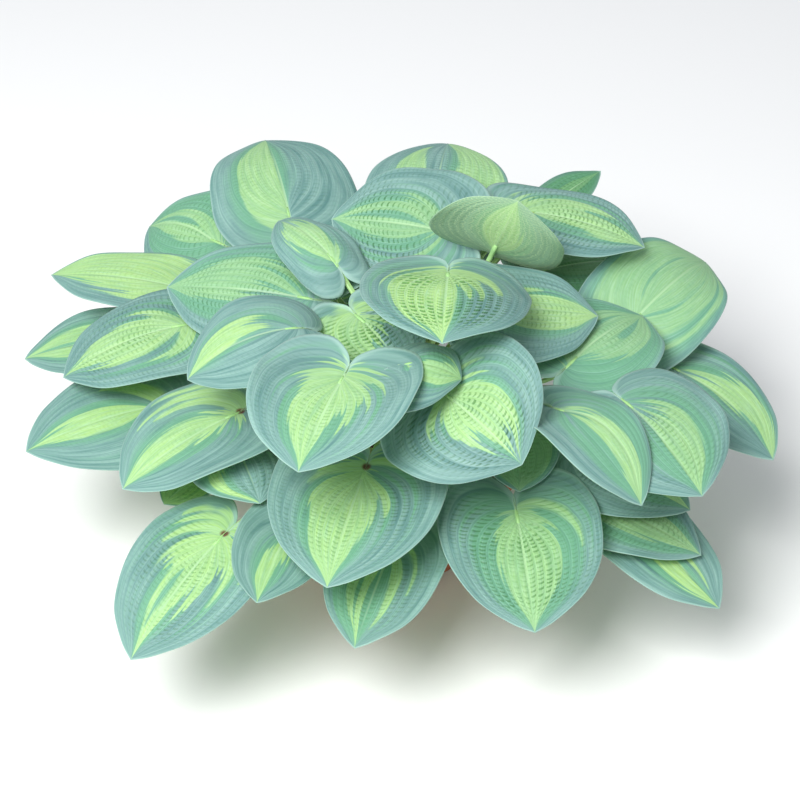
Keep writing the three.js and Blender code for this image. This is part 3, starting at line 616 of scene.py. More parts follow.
# The stalks stand in the CAD soil's holes: the highest leaf in the middle, the others in rings
stalkSettings = {
    "rings": ((0, 1), (17, 8), (33, 16), (51, 30)),  # radius and number of holes
    "holeSpacing": 7.8,
    "spreadPasses": 300,
    "soilCrown": 123,
    "footDepth": 20,
    "collarRise": 4,
    "rise": 35,
    "riseShare": 0.6,
    "steepRiseCut": 0.5,
    "outwardShare": 0.45,
    "arrivalReach": 0.35,
    "ribReach": 16,
    "ribDepth": 2.1,
    "ribEndDepth": 1.3,
    "footRadius": 3.0,
    "topRadius": 2.4,
    "sides": 12,
    "steps": 22,
    "endShrink": 0.75,
    "channelDepth": 0.5,  # share of the radius: a hosta's stalk is grooved on its upper side
    "channelWidth": 0.6,  # radians
    "channelFrom": 3,  # it has its full depth from a third of the way up
    "straightOut": 0.15,  # below this the stalk runs straight outward, and the world's down is taken
    "footColour": "#a9b87c",
    "topColour": "#9fce86",
    "fleckColour": "#7a4a3a",
}


def placeStalks(leaves):
    s = stalkSettings
    byHeight = sorted(leaves, key=lambda leaf: -leaf["base"][2])
    first = 0
    for radius, count in s["rings"]:
        members = byHeight[first : first + count]
        first += count
        for leaf in members:
            leaf["angle"] = math.atan2(leaf["base"][1], leaf["base"][0])
        members.sort(key=lambda leaf: leaf["angle"])
        if len(members) > 1:
            for _ in range(s["spreadPasses"]):
                spreadRing(members, s["holeSpacing"] / radius)
        for leaf in members:
            leaf["foot"] = (radius * math.cos(leaf["angle"]), radius * math.sin(leaf["angle"]))


def spreadRing(members, least):
    for i, leaf in enumerate(members):
        following = members[(i + 1) % len(members)]
        wrap = 2 * math.pi if i + 1 == len(members) else 0
        lack = least - (following["angle"] + wrap - leaf["angle"])
        if lack > 0:
            leaf["angle"] -= lack / 2
            following["angle"] += lack / 2


def stalkLine(leaf):
    s = stalkSettings
    upward = np.array([0, 0, 1.0])
    foot = np.array([*leaf["foot"], s["soilCrown"] - s["footDepth"]])
    collar = np.array([*leaf["foot"], s["soilCrown"] + s["collarRise"]])
    chord = leafFrame(leaf)[1]
    underRib = []
    for share in (0, 0.5, 1):
        below = s["ribDepth"] + (s["ribEndDepth"] - s["ribDepth"]) * share
        underRib.append(bladePoints(leaf, 0, share * s["ribReach"] / chord, below)[0])
    joint, *ribs = underRib
    outward = joint - collar
    span = np.linalg.norm(outward)
    ribWay = ribs[1] - joint
    arriving = ribWay / np.linalg.norm(ribWay)
    arriving = arriving + (outward / span - arriving) * s["outwardShare"]
    arriving = arriving + (upward - arriving) * leaf["steep"]
    arriving /= np.linalg.norm(arriving)
    rise = s["rise"] + s["riseShare"] * (joint[2] - s["soilCrown"])
    rise *= 1 - s["steepRiseCut"] * leaf["steep"]
    a, b, c, d = collar, collar + upward * rise, joint - arriving * s["arrivalReach"] * span, joint
    t = np.linspace(0, 1, s["steps"] + 1)[:, None]
    curve = a * (1 - t) ** 3 + 3 * b * t * (1 - t) ** 2 + 3 * c * t**2 * (1 - t) + d * t**3
    return np.vstack([foot, curve, ribs])


# A tube's faces: quads between rings of points, each of the same count, and its two ends
def tubeFaces(rings, count, inward=False):
    quads = []
    for start in range(0, (rings - 1) * count, count):
        for k in range(count):
            n = (k + 1) % count
            quads.append([start + k, start + n, start + count + n, start + count + k])
    ends = [list(range(count))[::-1], [(rings - 1) * count + k for k in range(count)]]
    if inward:
        return [[a, d, c, b] for a, b, c, d in quads] + [end[::-1] for end in ends]
    return quads + ends


def makeStalk(leaf):
    s = stalkSettings
    line = stalkLine(leaf)
    last = len(line) - 1
    ahead = np.gradient(line, axis=0)
    ahead /= np.linalg.norm(ahead, axis=1, keepdims=True)
    outward = np.array([math.cos(leaf["angle"]), math.sin(leaf["angle"]), 0])
    turn = np.linspace(0, 2 * np.pi, s["sides"], endpoint=False)
    channel = s["channelDepth"] * np.exp(-((abs(turn - np.pi) / s["channelWidth"]) ** 2))
    places = []
    for i, point in enumerate(line):
        down = outward - ahead[i] * (outward @ ahead[i])
        if np.linalg.norm(down) < s["straightOut"]:
            down = np.array([0, 0, -1.0]) + ahead[i] * ahead[i][2]
        down /= np.linalg.norm(down)
        across = np.cross(ahead[i], down)
        share = i / last
        radius = s["footRadius"] + (s["topRadius"] - s["footRadius"]) * share
        if i == last:
            radius *= s["endShrink"]
        ring = radius * (1 - channel * min(1, share * s["channelFrom"]))[:, None]
        places.append(point + ring * (np.cos(turn)[:, None] * down + np.sin(turn)[:, None] * across))
    lengthAlong = np.repeat(np.linspace(0, 1, last + 1), s["sides"])
    return np.vstack(places), tubeFaces(last + 1, s["sides"]), lengthAlong


bladeColours = {
    "blueDark": "#608c8a",
    "blueLight": "#92b8b1",
    "blueVein": "#527d7b",
    "blueHair": "#a9d0c8",
    "green": "#74b18c",
    "lime": "#a0cf94",
    "limeYellow": "#bce188",
    "limePale": "#bfe5b5",
    "limeVein": "#90c67c",
    # the next two colours are painted shade: a pucker's foot, and a leaf that lies in the shadow of others
    "valley": "#86ab7c",
    "deepGreen": "#4f9a3c",
    "rib": "#c3e6b6",
    "edge": "#b4d6cc",
    "spot": "#6d2a26",
    "under": "#abd498",
    "underVein": "#cfe6b4",
    "through": "#8fce5c",
}


# The values that makeBlade stores for each point, three to a field at most. Below, f holds them and what
# each layer adds for the next ones, and c holds the blade's colours.
bladeFields = {
    "veinPlace": ("lane", "distance", "seed"),
    "tones": ("lime", "wash", "laneChance"),
    "marks": ("edge", "face", "fromBase"),
    "tint": ("yellow", "limeness", "shade"),
    "spine": ("ribSide", "along"),
    "puckers": ("puckerPlace", "puckerStrength"),
}


# Streaks along the veins, which part at the stalk and meet at the tip: how many lie side by side
# between two veins, which are 8 mm apart at most, and how long each is in mm
def veinStreaks(add, f, perLane, length, look):
    lane = add("Math", {0: f["lane"], 1: perLane}, operation="MULTIPLY")
    distance = add("Math", {0: f["distance"], 1: 1 / length}, operation="MULTIPLY")
    place = add("CombineXYZ", {0: lane, 1: distance, 2: f["seed"]})
    return add("TexNoise", {"Vector": place, "Scale": 1, **look})


# The blue-green margin, the green wash and the lime centre with its streaked edge, and painted shade,
# darker and greener, on leaves that lie in the shadow of others
def limeAndBlue(add, c, f):
    streak = f["streak"]
    stirred = add("Math", {0: streak, 1: 1.3, 2: f["lime"]}, operation="MULTIPLY_ADD")
    limeMask = add("MapRange", {"Value": stirred, "From Min": 0.3, "From Max": 1.0}, **smooth)
    limeUneven = add("MapRange", {"Value": streak, "From Min": 0.35, "From Max": 0.6, "To Min": 0.66})
    limeStrength = add("Math", {0: f["limeness"], 1: limeUneven}, operation="MULTIPLY")
    f["limeMask"] = add("Math", {0: limeMask, 1: limeStrength}, operation="MULTIPLY")
    washed = add("Math", {0: streak, 1: 1.6, 2: f["wash"]}, operation="MULTIPLY_ADD")
    washMask = add("MapRange", {"Value": washed, "From Min": 0.2, "From Max": 1.5, "To Max": 0.85}, **smooth)
    blueTone = add("Math", {0: f["laneChance"], 1: 0.35, 2: streak}, operation="MULTIPLY_ADD")
    blueTone = add("MapRange", {"Value": blueTone, "From Min": 0.35, "From Max": 0.95})
    blue = add("Mix", {0: blueTone, 6: c["blueDark"], 7: c["blueLight"]}, **rgba)
    green = add("Mix", {0: washMask, 6: blue, 7: c["green"]}, **rgba)
    limeHue = add("Mix", {0: f["yellow"], 6: c["lime"], 7: c["limeYellow"]}, **rgba)
    paleShare = add("MapRange", {"Value": f["thin"], "From Min": 0.42, "From Max": 0.72, "To Max": 0.75})
    limeHue = add("Mix", {0: paleShare, 6: limeHue, 7: c["limePale"]}, **rgba)
    colour = add("Mix", {0: f["limeMask"], 6: green, 7: limeHue}, **rgba)
    # painted shade: a leaf's share of shade darkens and greens its whole colour, as if it lay in shadow
    return add("Mix", {0: f["shade"], 6: colour, 7: c["deepGreen"]}, **rgba, blend_type="MULTIPLY")


# Painted shade: the foot of each pucker, a crescent between two veins, is painted darker as if in shade, and
# its crown is left paler
def paintedPuckerShade(add, c, f, colour):
    phase = add("Math", {0: f["puckerPlace"]}, operation="FRACT")
    f["laneNear"] = add("Math", {0: f["lane"], 1: 0.5}, operation="PINGPONG")
    crescentWide = add("MapRange", {"Value": f["laneNear"], "From Min": 0.06, "From Max": 0.24}, **smooth)
    crescentShare = add("Math", {0: crescentWide, 1: f["puckerStrength"]}, operation="MULTIPLY")
    foot = add("MapRange", {"Value": phase, "From Min": 0.62, "From Max": 0.9}, **smooth)
    startShade = add("MapRange", {"Value": phase, "From Min": 0.14, "From Max": 0}, **smooth)
    foot = add("Math", {0: foot, 1: startShade}, operation="MAXIMUM")
    crescent = add("Math", {0: foot, 1: crescentShare}, operation="MULTIPLY")
    f["crescent"] = add("Math", {0: crescent, 1: 1.0}, operation="MINIMUM")
    # painted shade: the crescent mask darkens the colour towards a shaded green
    return add("Mix", {0: f["crescent"], 6: colour, 7: c["valley"]}, **rgba, blend_type="MULTIPLY")


# Side veins are fine sunken lines, with pale hairlines between them, four to each lane. The midrib is
# pale and fades towards the tip.
def veinLines(add, c, f, colour):
    f["veinLine"] = add("MapRange",
                        {"Value": f["laneNear"], "From Min": 0.1, "From Max": 0.02, "To Max": 0.25}, **smooth)
    veinHue = add("Mix", {0: f["limeMask"], 6: c["blueVein"], 7: c["limeVein"]}, **rgba)
    colour = add("Mix", {0: f["veinLine"], 6: colour, 7: veinHue}, **rgba)
    laneFour = add("Math", {0: f["lane"], 1: 4, 2: 0.5}, operation="MULTIPLY_ADD")
    hairNear = add("Math", {0: laneFour, 1: 0.5}, operation="PINGPONG")
    hairLine = add("MapRange", {"Value": hairNear, "From Min": 0.25, "From Max": 0.05}, **smooth)
    hairChance = add("MapRange", {"Value": f["streak"], "From Min": 0.4, "From Max": 0.7, "To Max": 0.3})
    hairLine = add("Math", {0: hairLine, 1: hairChance}, operation="MULTIPLY")
    hairHue = add("Mix", {0: f["limeMask"], 6: c["blueHair"], 7: c["limePale"]}, **rgba)
    colour = add("Mix", {0: hairLine, 6: colour, 7: hairHue}, **rgba)
    ribWidth = add("MapRange", {"Value": f["along"], "To Min": 1.9, "To Max": 0.5})
    ribShare = add("Math", {0: f["ribSide"], 1: ribWidth}, operation="DIVIDE")
    ribLine = add("MapRange", {"Value": ribShare, "From Min": 1, "From Max": 0.3, "To Max": 0.55}, **smooth)
    ribFade = add("MapRange",
                  {"Value": f["along"], "From Min": 0.45, "From Max": 0.85, "To Min": 1, "To Max": 0.2})
    ribLine = add("Math", {0: ribLine, 1: ribFade}, operation="MULTIPLY")
    return add("Mix", {0: ribLine, 6: colour, 7: c["rib"]}, **rgba)


# The edge is a thin pale line, about 1 mm, and red sap shows where some stalks meet the blade
def edgeAndSpot(add, c, f, colour):
    edgeLine = add("MapRange", {"Value": f["edge"], "From Min": 1.1, "From Max": 0.2, "To Max": 0.6},
                   **smooth)
    colour = add("Mix", {0: edgeLine, 6: colour, 7: c["edge"]}, **rgba)
    spotLine = add("MapRange", {"Value": f["fromBase"], "From Min": 5.4, "From Max": 2.2, "To Max": 0.9},
                   **smooth)
    return add("Mix", {0: spotLine, 6: colour, 7: c["spot"]}, **rgba)


# The underside is grey-green, with pale veins that stand out and a net of small ones between them,
# about 2 mm apart along the leaf
def undersideVeins(add, c, f, colour):
    underside = add("MapRange", {"Value": f["face"], "From Min": 0.5, "From Max": -0.5})
    netDistance = add("Math", {0: f["distance"], 1: 1 / 3}, operation="MULTIPLY")
    netPlace = add("CombineXYZ", {0: f["lane"], 1: netDistance, 2: f["seed"]})
    net = add("TexVoronoi", {"Vector": netPlace, "Scale": 1.3, "Randomness": 0.6}, feature="DISTANCE_TO_EDGE",
              voronoi_dimensions="2D")
    netLine = add("MapRange", {"Value": net, "From Min": 0.14, "From Max": 0.01, "To Max": 0.6}, **smooth)
    underVein = add("Math", {0: netLine, 1: f["veinLine"]}, operation="MAXIMUM")
    under = add("Mix", {0: 0.5, 6: colour, 7: c["under"]}, **rgba)
    under = add("Mix", {0: underVein, 6: under, 7: c["underVein"]}, **rgba)
    return add("Mix", {0: underside, 6: colour, 7: under}, **rgba)


# Hosta leaf: grown tissue under a thin coat of wax. The wax makes the blue parts pale and soft to the
# eye, the lime centre is thinner waxed and yellower, and light catches each pucker between the veins.
# The foot of each pucker, and every leaf that lies in the shadow of others, also get painted shade.
def leafMaterial():
    c = {name: toLinear(value) for name, value in bladeColours.items()}
    material, add = newMaterial("hosta leaf, grown and wax coated")
    f = {}
    for field, names in bladeFields.items():
        stored = add("Attribute", out="Vector", attribute_name=field)
        f.update(zip(names, add("SeparateXYZ", {0: stored}).node.outputs))
    f["streak"] = veinStreaks(add, f, 2.4, 40, {"Detail": 3, "Roughness": 0.6})
    f["thin"] = veinStreaks(add, f, 7, 12, {"Detail": 2})
    colour = limeAndBlue(add, c, f)
    for layer in (paintedPuckerShade, veinLines, edgeAndSpot, undersideVeins):
        colour = layer(add, c, f, colour)

    # The puckers' steep ends, sharper than the mesh, and fine wrinkles along the veins, about 1 mm across
    crown = add("Math", {0: f["puckerStrength"], 1: f["crescent"]}, operation="SUBTRACT")
    bump = add("Bump", {"Height": crown, "Distance": 0.5 * mm, "Strength": 0.8})
    bump = add("Bump", {"Height": f["thin"], "Distance": 0.25 * mm, "Strength": 0.6, "Normal": bump})
    rough = add("MapRange", {"Value": f["thin"], "To Min": 0.46, "To Max": 0.62})
    shader = add("BsdfPrincipled",
                 {"Base Color": colour, "Roughness": rough, "Normal": bump, "IOR": 1.42, "Sheen Weight": 0.06,
                  "Sheen Roughness": 0.5})
    # A leaf lets about a fifth of the light through, yellow-green
    glow = add("Mix", {0: 0.6, 6: colour, 7: c["through"]}, **rgba)
    through = add("BsdfTranslucent", {"Color": glow, "Normal": bump})
    blade = add("MixShader", {0: 0.22, 1: shader, 2: through})
    add("OutputMaterial", {"Surface": blade})
    return material


# Hosta stalk: grown, juicy and smooth. Pale green, redder at its foot, with small dark red flecks.
def stalkMaterial():
    c = {name: toLinear(stalkSettings[name]) for name in ("footColour", "topColour", "fleckColour")}
    material, add = newMaterial("hosta stalk, grown and smooth")
    stored = add("Attribute", out="Vector", attribute_name="spine")
    share = add("SeparateXYZ", {0: stored}, out=1)
    place = add("TexCoord", out="Object")
    fleck = add("TexNoise", {"Vector": place, "Scale": 1 / (2.5 * mm), "Detail": 2})
    foot = add("Mix", {0: share, 6: c["footColour"], 7: c["topColour"]}, **rgba)
    flecks = add("MapRange", {"Value": fleck, "From Min": 0.6, "From Max": 0.75, "To Max": 0.6})
    colour = add("Mix", {0: flecks, 6: foot, 7: c["fleckColour"]}, **rgba)
    shader = add("BsdfPrincipled", {"Base Color": colour, "Roughness": 0.42, "IOR": 1.42})
    add("OutputMaterial", {"Surface": shader})
    return material


def makeLeaves():
    leafSkin, stalkSkin = leafMaterial(), stalkMaterial()
    leaves = []
    for number, row in enumerate(leafSettings, 1):
        leaf = {**leafDefaults, **(hiddenLeaf if number >= hiddenFrom else {}), **row}
        settleLeaf(leaf, f"leaf_{number:02d}")
        leaves.append(leaf)
    placeStalks(leaves)
    triangles = 0
    for number, leaf in enumerate(leaves, 1):
        rng = np.random.default_rng(bladeSettings["seed"] * 100 + number)
        places, faces, marks = makeBlade(leaf, number, rng)
        stalkPlaces, stalkFaces, stalkShare = makeStalk(leaf)
        count, bladeFaceCount = len(places), len(faces)
        faces = faces + [[i + count for i in face] for face in stalkFaces]
        piece = newPiece(f"hosta_leaf_{number:02d}", np.vstack([places, stalkPlaces]), faces,
                         [leafSkin, stalkSkin], "hosta_leaf", f"leaf_{number:02d}")
        material = np.zeros(len(faces), np.int32)
        material[bladeFaceCount:] = 1
        piece.data.polygons.foreach_set("material_index", material)
        tail = np.zeros((len(stalkPlaces), 3))
        tail[:, 1] = stalkShare
        for name, values in marks.items():
            storeField(piece, name, np.vstack([values, tail]))
        triangles += sum(len(face) - 2 for face in faces)
    print("leaves made:", len(leaves), "with", triangles, "triangles")


makeLeaves()

# The pot, as in the CAD source but with a rounder rim and finer sides
potSettings = {
    "height": 130,
    "rimRadius": 116,
    "baseRadius": 72,
    "rimHeight": 28,
    "rimStep": 7,
    "wall": 8,
    "floor": 12,
    "edge": 3,  # roundings of the base's and the rim's lower corner, then of the other corners
    "neckEdge": 1.2,
    "lipEdge": 5,
    "innerEdge": 4,
    "neckDrop": 1,  # the body's top lies this far below the rim's foot
    "baseFlat": 58,  # the base and the floor are flat out to here, past the drain holes
    "floorFlat": 52,
    "sides": 144,
    "drainRadius": 7,
    "drainRing": 38,
    "drainCount": 4,
    "drainSides": 32,
    "drainCut": (-10, 30),  # the heights between which the holes are cut
    "ringSpacing": 4.5,  # faint rings left by the press mould
    "ringDepth": 0.12,
    "ringSteps": 62,
    "ringMargin": 5,  # the rings stay this far from the base's and the rim's corners
    "clayDeep": "#a95a3c",
    "clayPale": "#c47a57",
    "clayGrain": "#8f4a33",
    "bloom": "#dccabb",
}


def potInnerRadius(height):
    p = potSettings
    rimInner = p["rimRadius"] - p["rimStep"] - p["wall"]
    inner = p["baseRadius"] - p["wall"]
    return inner + (rimInner - inner) * height / p["height"]


# A short arc of points that rounds a corner of the profile
def roundedCorner(before, corner, after, radius, count=5):
    corner = np.array(corner, float)
    inWay = np.array(before, float) - corner
    outWay = np.array(after, float) - corner
    start = corner + inWay / np.linalg.norm(inWay) * radius
    end = corner + outWay / np.linalg.norm(outWay) * radius
    t = np.linspace(0, 1, count)[:, None]
    return (start * (1 - t) ** 2 + 2 * corner * t * (1 - t) + end * t**2).tolist()


def turnedMesh(profile, sides):
    angles = np.linspace(0, 2 * np.pi, sides, endpoint=False)
    places, faces = [], []
    for radius, height in profile:
        if radius < 1e-6:
            places.append([[0, 0, height]])
        else:
            ring = [radius * np.cos(angles), radius * np.sin(angles), np.full(sides, height)]
            places.append(np.stack(ring, 1))
    starts = np.cumsum([0] + [len(p) for p in places])
    for i in range(len(profile) - 1):
        a, b = starts[i], starts[i + 1]
        for k in range(sides):
            n = (k + 1) % sides
            if len(places[i]) == 1:
                faces.append([a, b + n, b + k])
            elif len(places[i + 1]) == 1:
                faces.append([a + k, a + n, b])
            else:
                faces.append([a + k, a + n, b + n, b + k])
    return np.vstack(places), faces


# Terracotta: red clay pressed in a mould and fired. Matt and chalky to the eye, a little uneven in
# colour, with a pale bloom of lime salts that is thicker towards the base.
def terracottaMaterial():
    c = {name: toLinear(potSettings[name]) for name in ("clayDeep", "clayPale", "clayGrain", "bloom")}
    material, add = newMaterial("terracotta, moulded and fired")
    place = add("TexCoord", out="Object")
    cloud = add("TexNoise", {"Vector": place, "Scale": 1 / (45 * mm), "Detail": 4})
    grain = add("TexNoise", {"Vector": place, "Scale": 1 / (1.2 * mm), "Detail": 3})
    base = add("MapRange", {"Value": cloud, "From Min": 0.3, "From Max": 0.7})
    clay = add("Mix", {0: base, 6: c["clayDeep"], 7: c["clayPale"]}, **rgba)
    speck = add("MapRange", {"Value": grain, "From Min": 0.35, "From Max": 0.65, "To Max": 0.35})
    clay = add("Mix", {0: speck, 6: clay, 7: c["clayGrain"]}, **rgba)
    height = add("SeparateXYZ", {0: place}, out=2)
    drips = add("Mapping", {"Vector": place, "Scale": (1, 1, 0.25)})
    bloomNoise = add("TexNoise", {"Vector": drips, "Scale": 1 / (18 * mm), "Detail": 5, "Roughness": 0.65})
    bloom = add("MapRange", {"Value": bloomNoise, "From Min": 0.52, "From Max": 0.72, "To Max": 0.55},
                **smooth)
    low = add("MapRange", {"Value": height, "From Min": 105 * mm, "From Max": 20 * mm, "To Min": 0.25})
    bloom = add("Math", {0: bloom, 1: low}, operation="MULTIPLY")
    colour = add("Mix", {0: bloom, 6: clay, 7: c["bloom"]}, **rgba)
    bump = add("Bump", {"Height": grain, "Distance": 0.4 * mm, "Strength": 0.6})
    shader = add("BsdfPrincipled", {"Base Color": colour, "Roughness": 0.86, "Normal": bump, "IOR": 1.5})
    add("OutputMaterial", {"Surface": shader})
    return material


def makePot():
    p = potSettings
    rimFoot = p["height"] - p["rimHeight"]
    bodyTop, neck = potInnerRadius(rimFoot) + p["wall"], rimFoot - p["neckDrop"]
    corners = [
        (p["baseRadius"], 0, p["edge"]),
        (bodyTop, neck, p["neckEdge"]),
        (p["rimRadius"], rimFoot, p["edge"]),
        (p["rimRadius"], p["height"], p["lipEdge"]),
        (potInnerRadius(p["height"]), p["height"], p["innerEdge"]),
        (potInnerRadius(p["floor"]), p["floor"], p["innerEdge"]),
    ]
    outline = [(0, 0)] + [corner[:2] for corner in corners] + [(0, p["floor"])]
    profile = [(0, 0), (p["baseFlat"], 0)]
    for i, (radius, height, rounding) in enumerate(corners):
        profile += roundedCorner(outline[i], (radius, height), outline[i + 2], rounding)
        if i == 0:
            for step in range(1, p["ringSteps"]):
                z = p["ringMargin"] + (rimFoot - 2 * p["ringMargin"]) * step / p["ringSteps"]
                r = p["baseRadius"] + (bodyTop - p["baseRadius"]) * z / neck
                profile.append((r + p["ringDepth"] * math.sin(2 * math.pi * z / p["ringSpacing"]), z))
    profile += [(p["floorFlat"], p["floor"]), (0, p["floor"])]
    places, faces = turnedMesh(profile, p["sides"])
    pot = newPiece("terracotta_pot", places, faces, [terracottaMaterial()], "terracotta", "pot")
    cutPlaces, cutFaces = [], []
    low, high = p["drainCut"]
    for i in range(p["drainCount"]):
        angle = 2 * math.pi * (i + 0.5) / p["drainCount"]
        hole = [(0, low), (p["drainRadius"], low), (p["drainRadius"], high), (0, high)]
        ring, ringFaces = turnedMesh(hole, p["drainSides"])
        ring = ring + [p["drainRing"] * math.cos(angle), p["drainRing"] * math.sin(angle), 0]
        start = sum(len(part) for part in cutPlaces)
        cutPlaces.append(ring)
        cutFaces += [[k + start for k in face] for face in ringFaces]
    cutter = newPiece("drain_cutter", np.vstack(cutPlaces), cutFaces, [], None)
    modifier = pot.modifiers.new("drains", "BOOLEAN")
    modifier.object = cutter
    modifier.operation = "DIFFERENCE"
    modifier.solver = "EXACT"
    evaluated = pot.evaluated_get(bpy.context.evaluated_depsgraph_get())
    pot.data = bpy.data.meshes.new_from_object(evaluated)
    pot.modifiers.clear()
    bpy.data.objects.remove(cutter)
    print("pot made:", len(pot.data.polygons), "faces")


makePot()

# The soil: a low mound of potting mix under loose bark chips
soilSettings = {
    "gap": 0.3,
    "top": 114,
    "mound": 9,
    "slopeShare": 0.45,
    "rings": 60,
    "sides": 168,
    "lumpHeight": 0.66,
    "lumpSizes": (14, 7, 3.5),
    "lumpWaves": 3,  # radians of its wave to each lump's size
    "grit": 0.5,
    "calmEdge": 0.5,
    "chips": 520,
    "chipLength": (7, 22),
    "chipWidth": (4, 10),
    "chipThickness": (1.6, 3.6),
    "chipHeight": (0.2, 2.6),  # how far its middle lies above the mound
    "chipTilt": 0.14,
    "chipRoll": 0.2,
    "chipReach": 0.93,  # share of the mound's radius that their middles reach
    "chipGap": 1,  # between their ends and the pot's wall
    "chipTorn": 0.12,  # how far their corners stray
    "grainShift": 50,
    "seed": 7,
}
soilColours = {
    "peatDark": "#2a1d16",
    "peatPale": "#5b4231",
    "barkDark": "#3a241b",
    "barkRed": "#5d3423",
    "barkPale": "#9a6a4c",
}


def soilHeight(radius, edge):
    s = soilSettings
    run = np.clip((1 - np.asarray(radius) / edge) / s["slopeShare"], 0, 1)
    return s["top"] + s["mound"] * np.sin(run * np.pi / 2)


# Potting mix: peat and composted bark, crumbled. Nearly black and crumbly, with no shine.
# Bark chips: shredded and weathered, red-brown to grey, with a fibrous grain along each chip.
def soilMaterials():
    c = {name: toLinear(value) for name, value in soilColours.items()}
    soil, add = newMaterial("potting mix, crumbled peat and bark")
    place = add("TexCoord", out="Object")
    crumbs = add("TexVoronoi", {"Vector": place, "Scale": 1 / (2.2 * mm), "Randomness": 1})
    tone = add("TexNoise", {"Vector": place, "Scale": 1 / (6 * mm), "Detail": 4})
    tone = add("MapRange", {"Value": tone, "From Min": 0.35, "From Max": 0.7})
    colour = add("Mix", {0: tone, 6: c["peatDark"], 7: c["peatPale"]}, **rgba)
    bump = add("Bump", {"Height": crumbs, "Distance": 1.2 * mm})
    shader = add("BsdfPrincipled",
                 {"Base Color": colour, "Roughness": 0.95, "Normal": bump, "IOR": 1.45})
    add("OutputMaterial", {"Surface": shader})
    bark, add = newMaterial("bark chips, shredded and weathered")
    stored = add("Attribute", out="Vector", attribute_name="chip")
    chance, lengthwise, crosswise = add("SeparateXYZ", {0: stored}).node.outputs
    fibreAcross = add("Math", {0: crosswise, 1: 1 / 0.8}, operation="MULTIPLY")
    fibreAlong = add("Math", {0: lengthwise, 1: 1 / 9}, operation="MULTIPLY")
    place = add("CombineXYZ", {0: fibreAlong, 1: fibreAcross, 2: chance})
    fibre = add("TexNoise", {"Vector": place, "Scale": 1, "Detail": 4})
    warm = add("Mix", {0: chance, 6: c["barkRed"], 7: c["barkPale"]}, **rgba)
    dark = add("MapRange", {"Value": fibre, "From Min": 0.45, "From Max": 0.62, "To Max": 0.7})
    colour = add("Mix", {0: dark, 6: warm, 7: c["barkDark"]}, **rgba)
    bump = add("Bump", {"Height": fibre, "Distance": 0.6 * mm})
    shader = add("BsdfPrincipled",
                 {"Base Color": colour, "Roughness": 0.82, "Normal": bump, "IOR": 1.45})
    add("OutputMaterial", {"Surface": shader})
    return [soil, bark]


# One chip: a flat splinter with torn ends, its corners moved at random
def barkChip(rng):
    s = soilSettings
    length, width, thick = (rng.uniform(*s[key]) for key in ("chipLength", "chipWidth", "chipThickness"))
    stations = np.array([-0.5, -0.2, 0.15, 0.5]) * length
    widths = np.array([rng.uniform(0.25, 0.7), 1, rng.uniform(0.8, 1.05), rng.uniform(0.2, 0.7)]) * width / 2
    section = np.array([(-1, -0.5), (-0.9, 0.3), (-0.2, 0.55), (0.6, 0.45), (1, 0.1), (0.8, -0.5)])
    corners, torn = len(section), s["chipTorn"]
    rings = []
    bow = rng.uniform(-torn, torn) * length
    for x, w in zip(stations, widths):
        ring = np.stack([np.full(corners, x), section[:, 0] * w, section[:, 1] * thick], 1)
        ring = ring + rng.uniform(-torn, torn, (corners, 3)) * (thick, width * 0.5, thick)
        ring[:, 1] += bow * (1 - (2 * x / length) ** 2)
        rings.append(ring)
    return np.vstack(rings), tubeFaces(len(rings), corners, inward=True)


# The mound's own surface, turned like the pot, with lumps of three sizes on it
def soilMound(rng, edge):
    s = soilSettings
    bottom = potSettings["floor"] + s["gap"]
    profile = [(0, bottom), (potInnerRadius(bottom) - s["gap"], bottom)]
    profile += [(r, soilHeight(r, edge)) for r in np.linspace(edge, 0, s["rings"])]
    places, faces = turnedMesh(profile, s["sides"])
    upper = places[:, 2] > s["top"] - 1
    inside = upper & (np.hypot(places[:, 0], places[:, 1]) < edge - s["calmEdge"])
    lumps = np.zeros(len(places))
    for size in s["lumpSizes"]:
        turn = rng.uniform(0, 2 * np.pi, 3)
        x, y = (places[:, k] / size * s["lumpWaves"] + turn[k] for k in range(2))
        lumps += size / s["lumpSizes"][0] * np.sin(x) * np.sin(y)
    lumps += rng.uniform(-s["grit"], s["grit"], len(places))
    places[inside, 2] += s["lumpHeight"] * lumps[inside]
    return places, faces


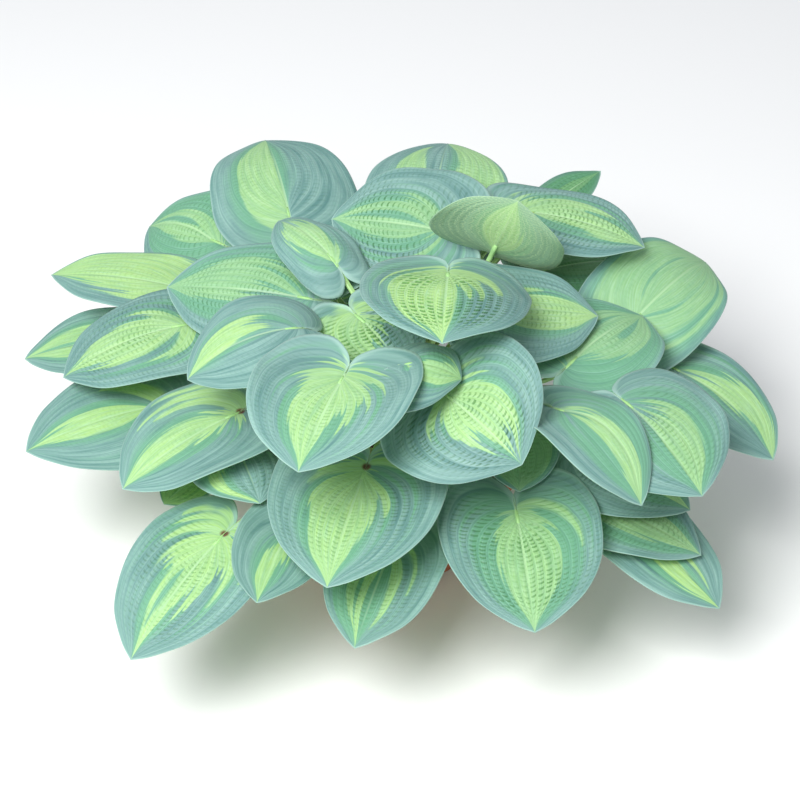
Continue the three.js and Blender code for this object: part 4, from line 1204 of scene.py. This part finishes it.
def makeSoil():
    s = soilSettings
    rng = np.random.default_rng(s["seed"])
    edge = potInnerRadius(s["top"]) - s["gap"]
    limit = potInnerRadius(s["top"]) - s["chipGap"]
    places, faces = soilMound(rng, edge)
    allPlaces, allFaces, material, marks = [places], faces, [0] * len(faces), [np.zeros((len(places), 3))]
    for _ in range(s["chips"]):
        local, chipFaces = barkChip(rng)
        radius = edge * s["chipReach"] * math.sqrt(rng.uniform(0, 1))
        angle, yaw = rng.uniform(0, 2 * math.pi), rng.uniform(0, 2 * math.pi)
        tilt, roll = rng.normal(0, s["chipTilt"]), rng.normal(0, s["chipRoll"])
        height = soilHeight(radius, edge) + rng.uniform(*s["chipHeight"])
        chip = local @ np.array(Euler((roll, tilt, yaw)).to_matrix()).T
        chip = chip + [radius * math.cos(angle), radius * math.sin(angle), height]
        reach = np.hypot(chip[:, 0], chip[:, 1])
        chip[:, :2] *= np.minimum(1, limit / np.maximum(reach, 1e-6))[:, None]
        start = sum(len(part) for part in allPlaces)
        allPlaces.append(chip)
        allFaces += [[k + start for k in face] for face in chipFaces]
        material += [1] * len(chipFaces)
        chance, shift = np.full(len(local), rng.uniform(0, 1)), s["grainShift"] * rng.uniform()
        marks.append(np.stack([chance, local[:, 0] + shift, local[:, 1]], 1))
    soil = newPiece("potting_soil", np.vstack(allPlaces), allFaces, soilMaterials(), "potting_soil", "soil",
                    shadeSmooth=False)
    soil.data.polygons.foreach_set("material_index", np.array(material, np.int32))
    storeField(soil, "chip", np.vstack(marks))
    print("soil made:", len(soil.data.polygons), "faces")


makeSoil()

# A plain pale floor and soft daylight from a studio sky
studioSettings = {
    "floorSize": 14000,
    "floorColour": "#f2f2f0",
    "skyColour": "#f3f7ff",
    "skyStrength": 0.56,
    "keyPlace": (-750, -1250, 2200),
    "keySize": 1300,
    "keyPower": 82,
}


def makeStudio():
    s = studioSettings
    half = s["floorSize"] / 2
    floor = newPiece("floor", [(-half, -half, 0), (half, -half, 0), (half, half, 0), (-half, half, 0)],
                     [[0, 1, 2, 3]], [], None)
    paint, add = newMaterial("studio floor, matt paint")
    shader = add("BsdfPrincipled", {"Base Color": toLinear(s["floorColour"]), "Roughness": 0.9})
    add("OutputMaterial", {"Surface": shader})
    floor.data.materials.append(paint)
    world = bpy.data.worlds.new("studio sky")
    world.use_nodes = True
    sky = world.node_tree.nodes["Background"]
    sky.inputs["Color"].default_value = toLinear(s["skyColour"])
    sky.inputs["Strength"].default_value = s["skyStrength"]
    bpy.context.scene.world = world
    data = bpy.data.lights.new("key light", "AREA")
    data.size = s["keySize"] * mm
    data.energy = s["keyPower"]
    key = bpy.data.objects.new("key light", data)
    bpy.context.scene.collection.objects.link(key)
    key.location = Vector(s["keyPlace"]) * mm
    aim = Vector(cameraSettings["target"]) * mm - key.location
    key.rotation_euler = aim.to_track_quat("-Z", "Y").to_euler()
    bpy.context.scene.view_settings.view_transform = "Standard"
    print("studio made")


makeStudio()
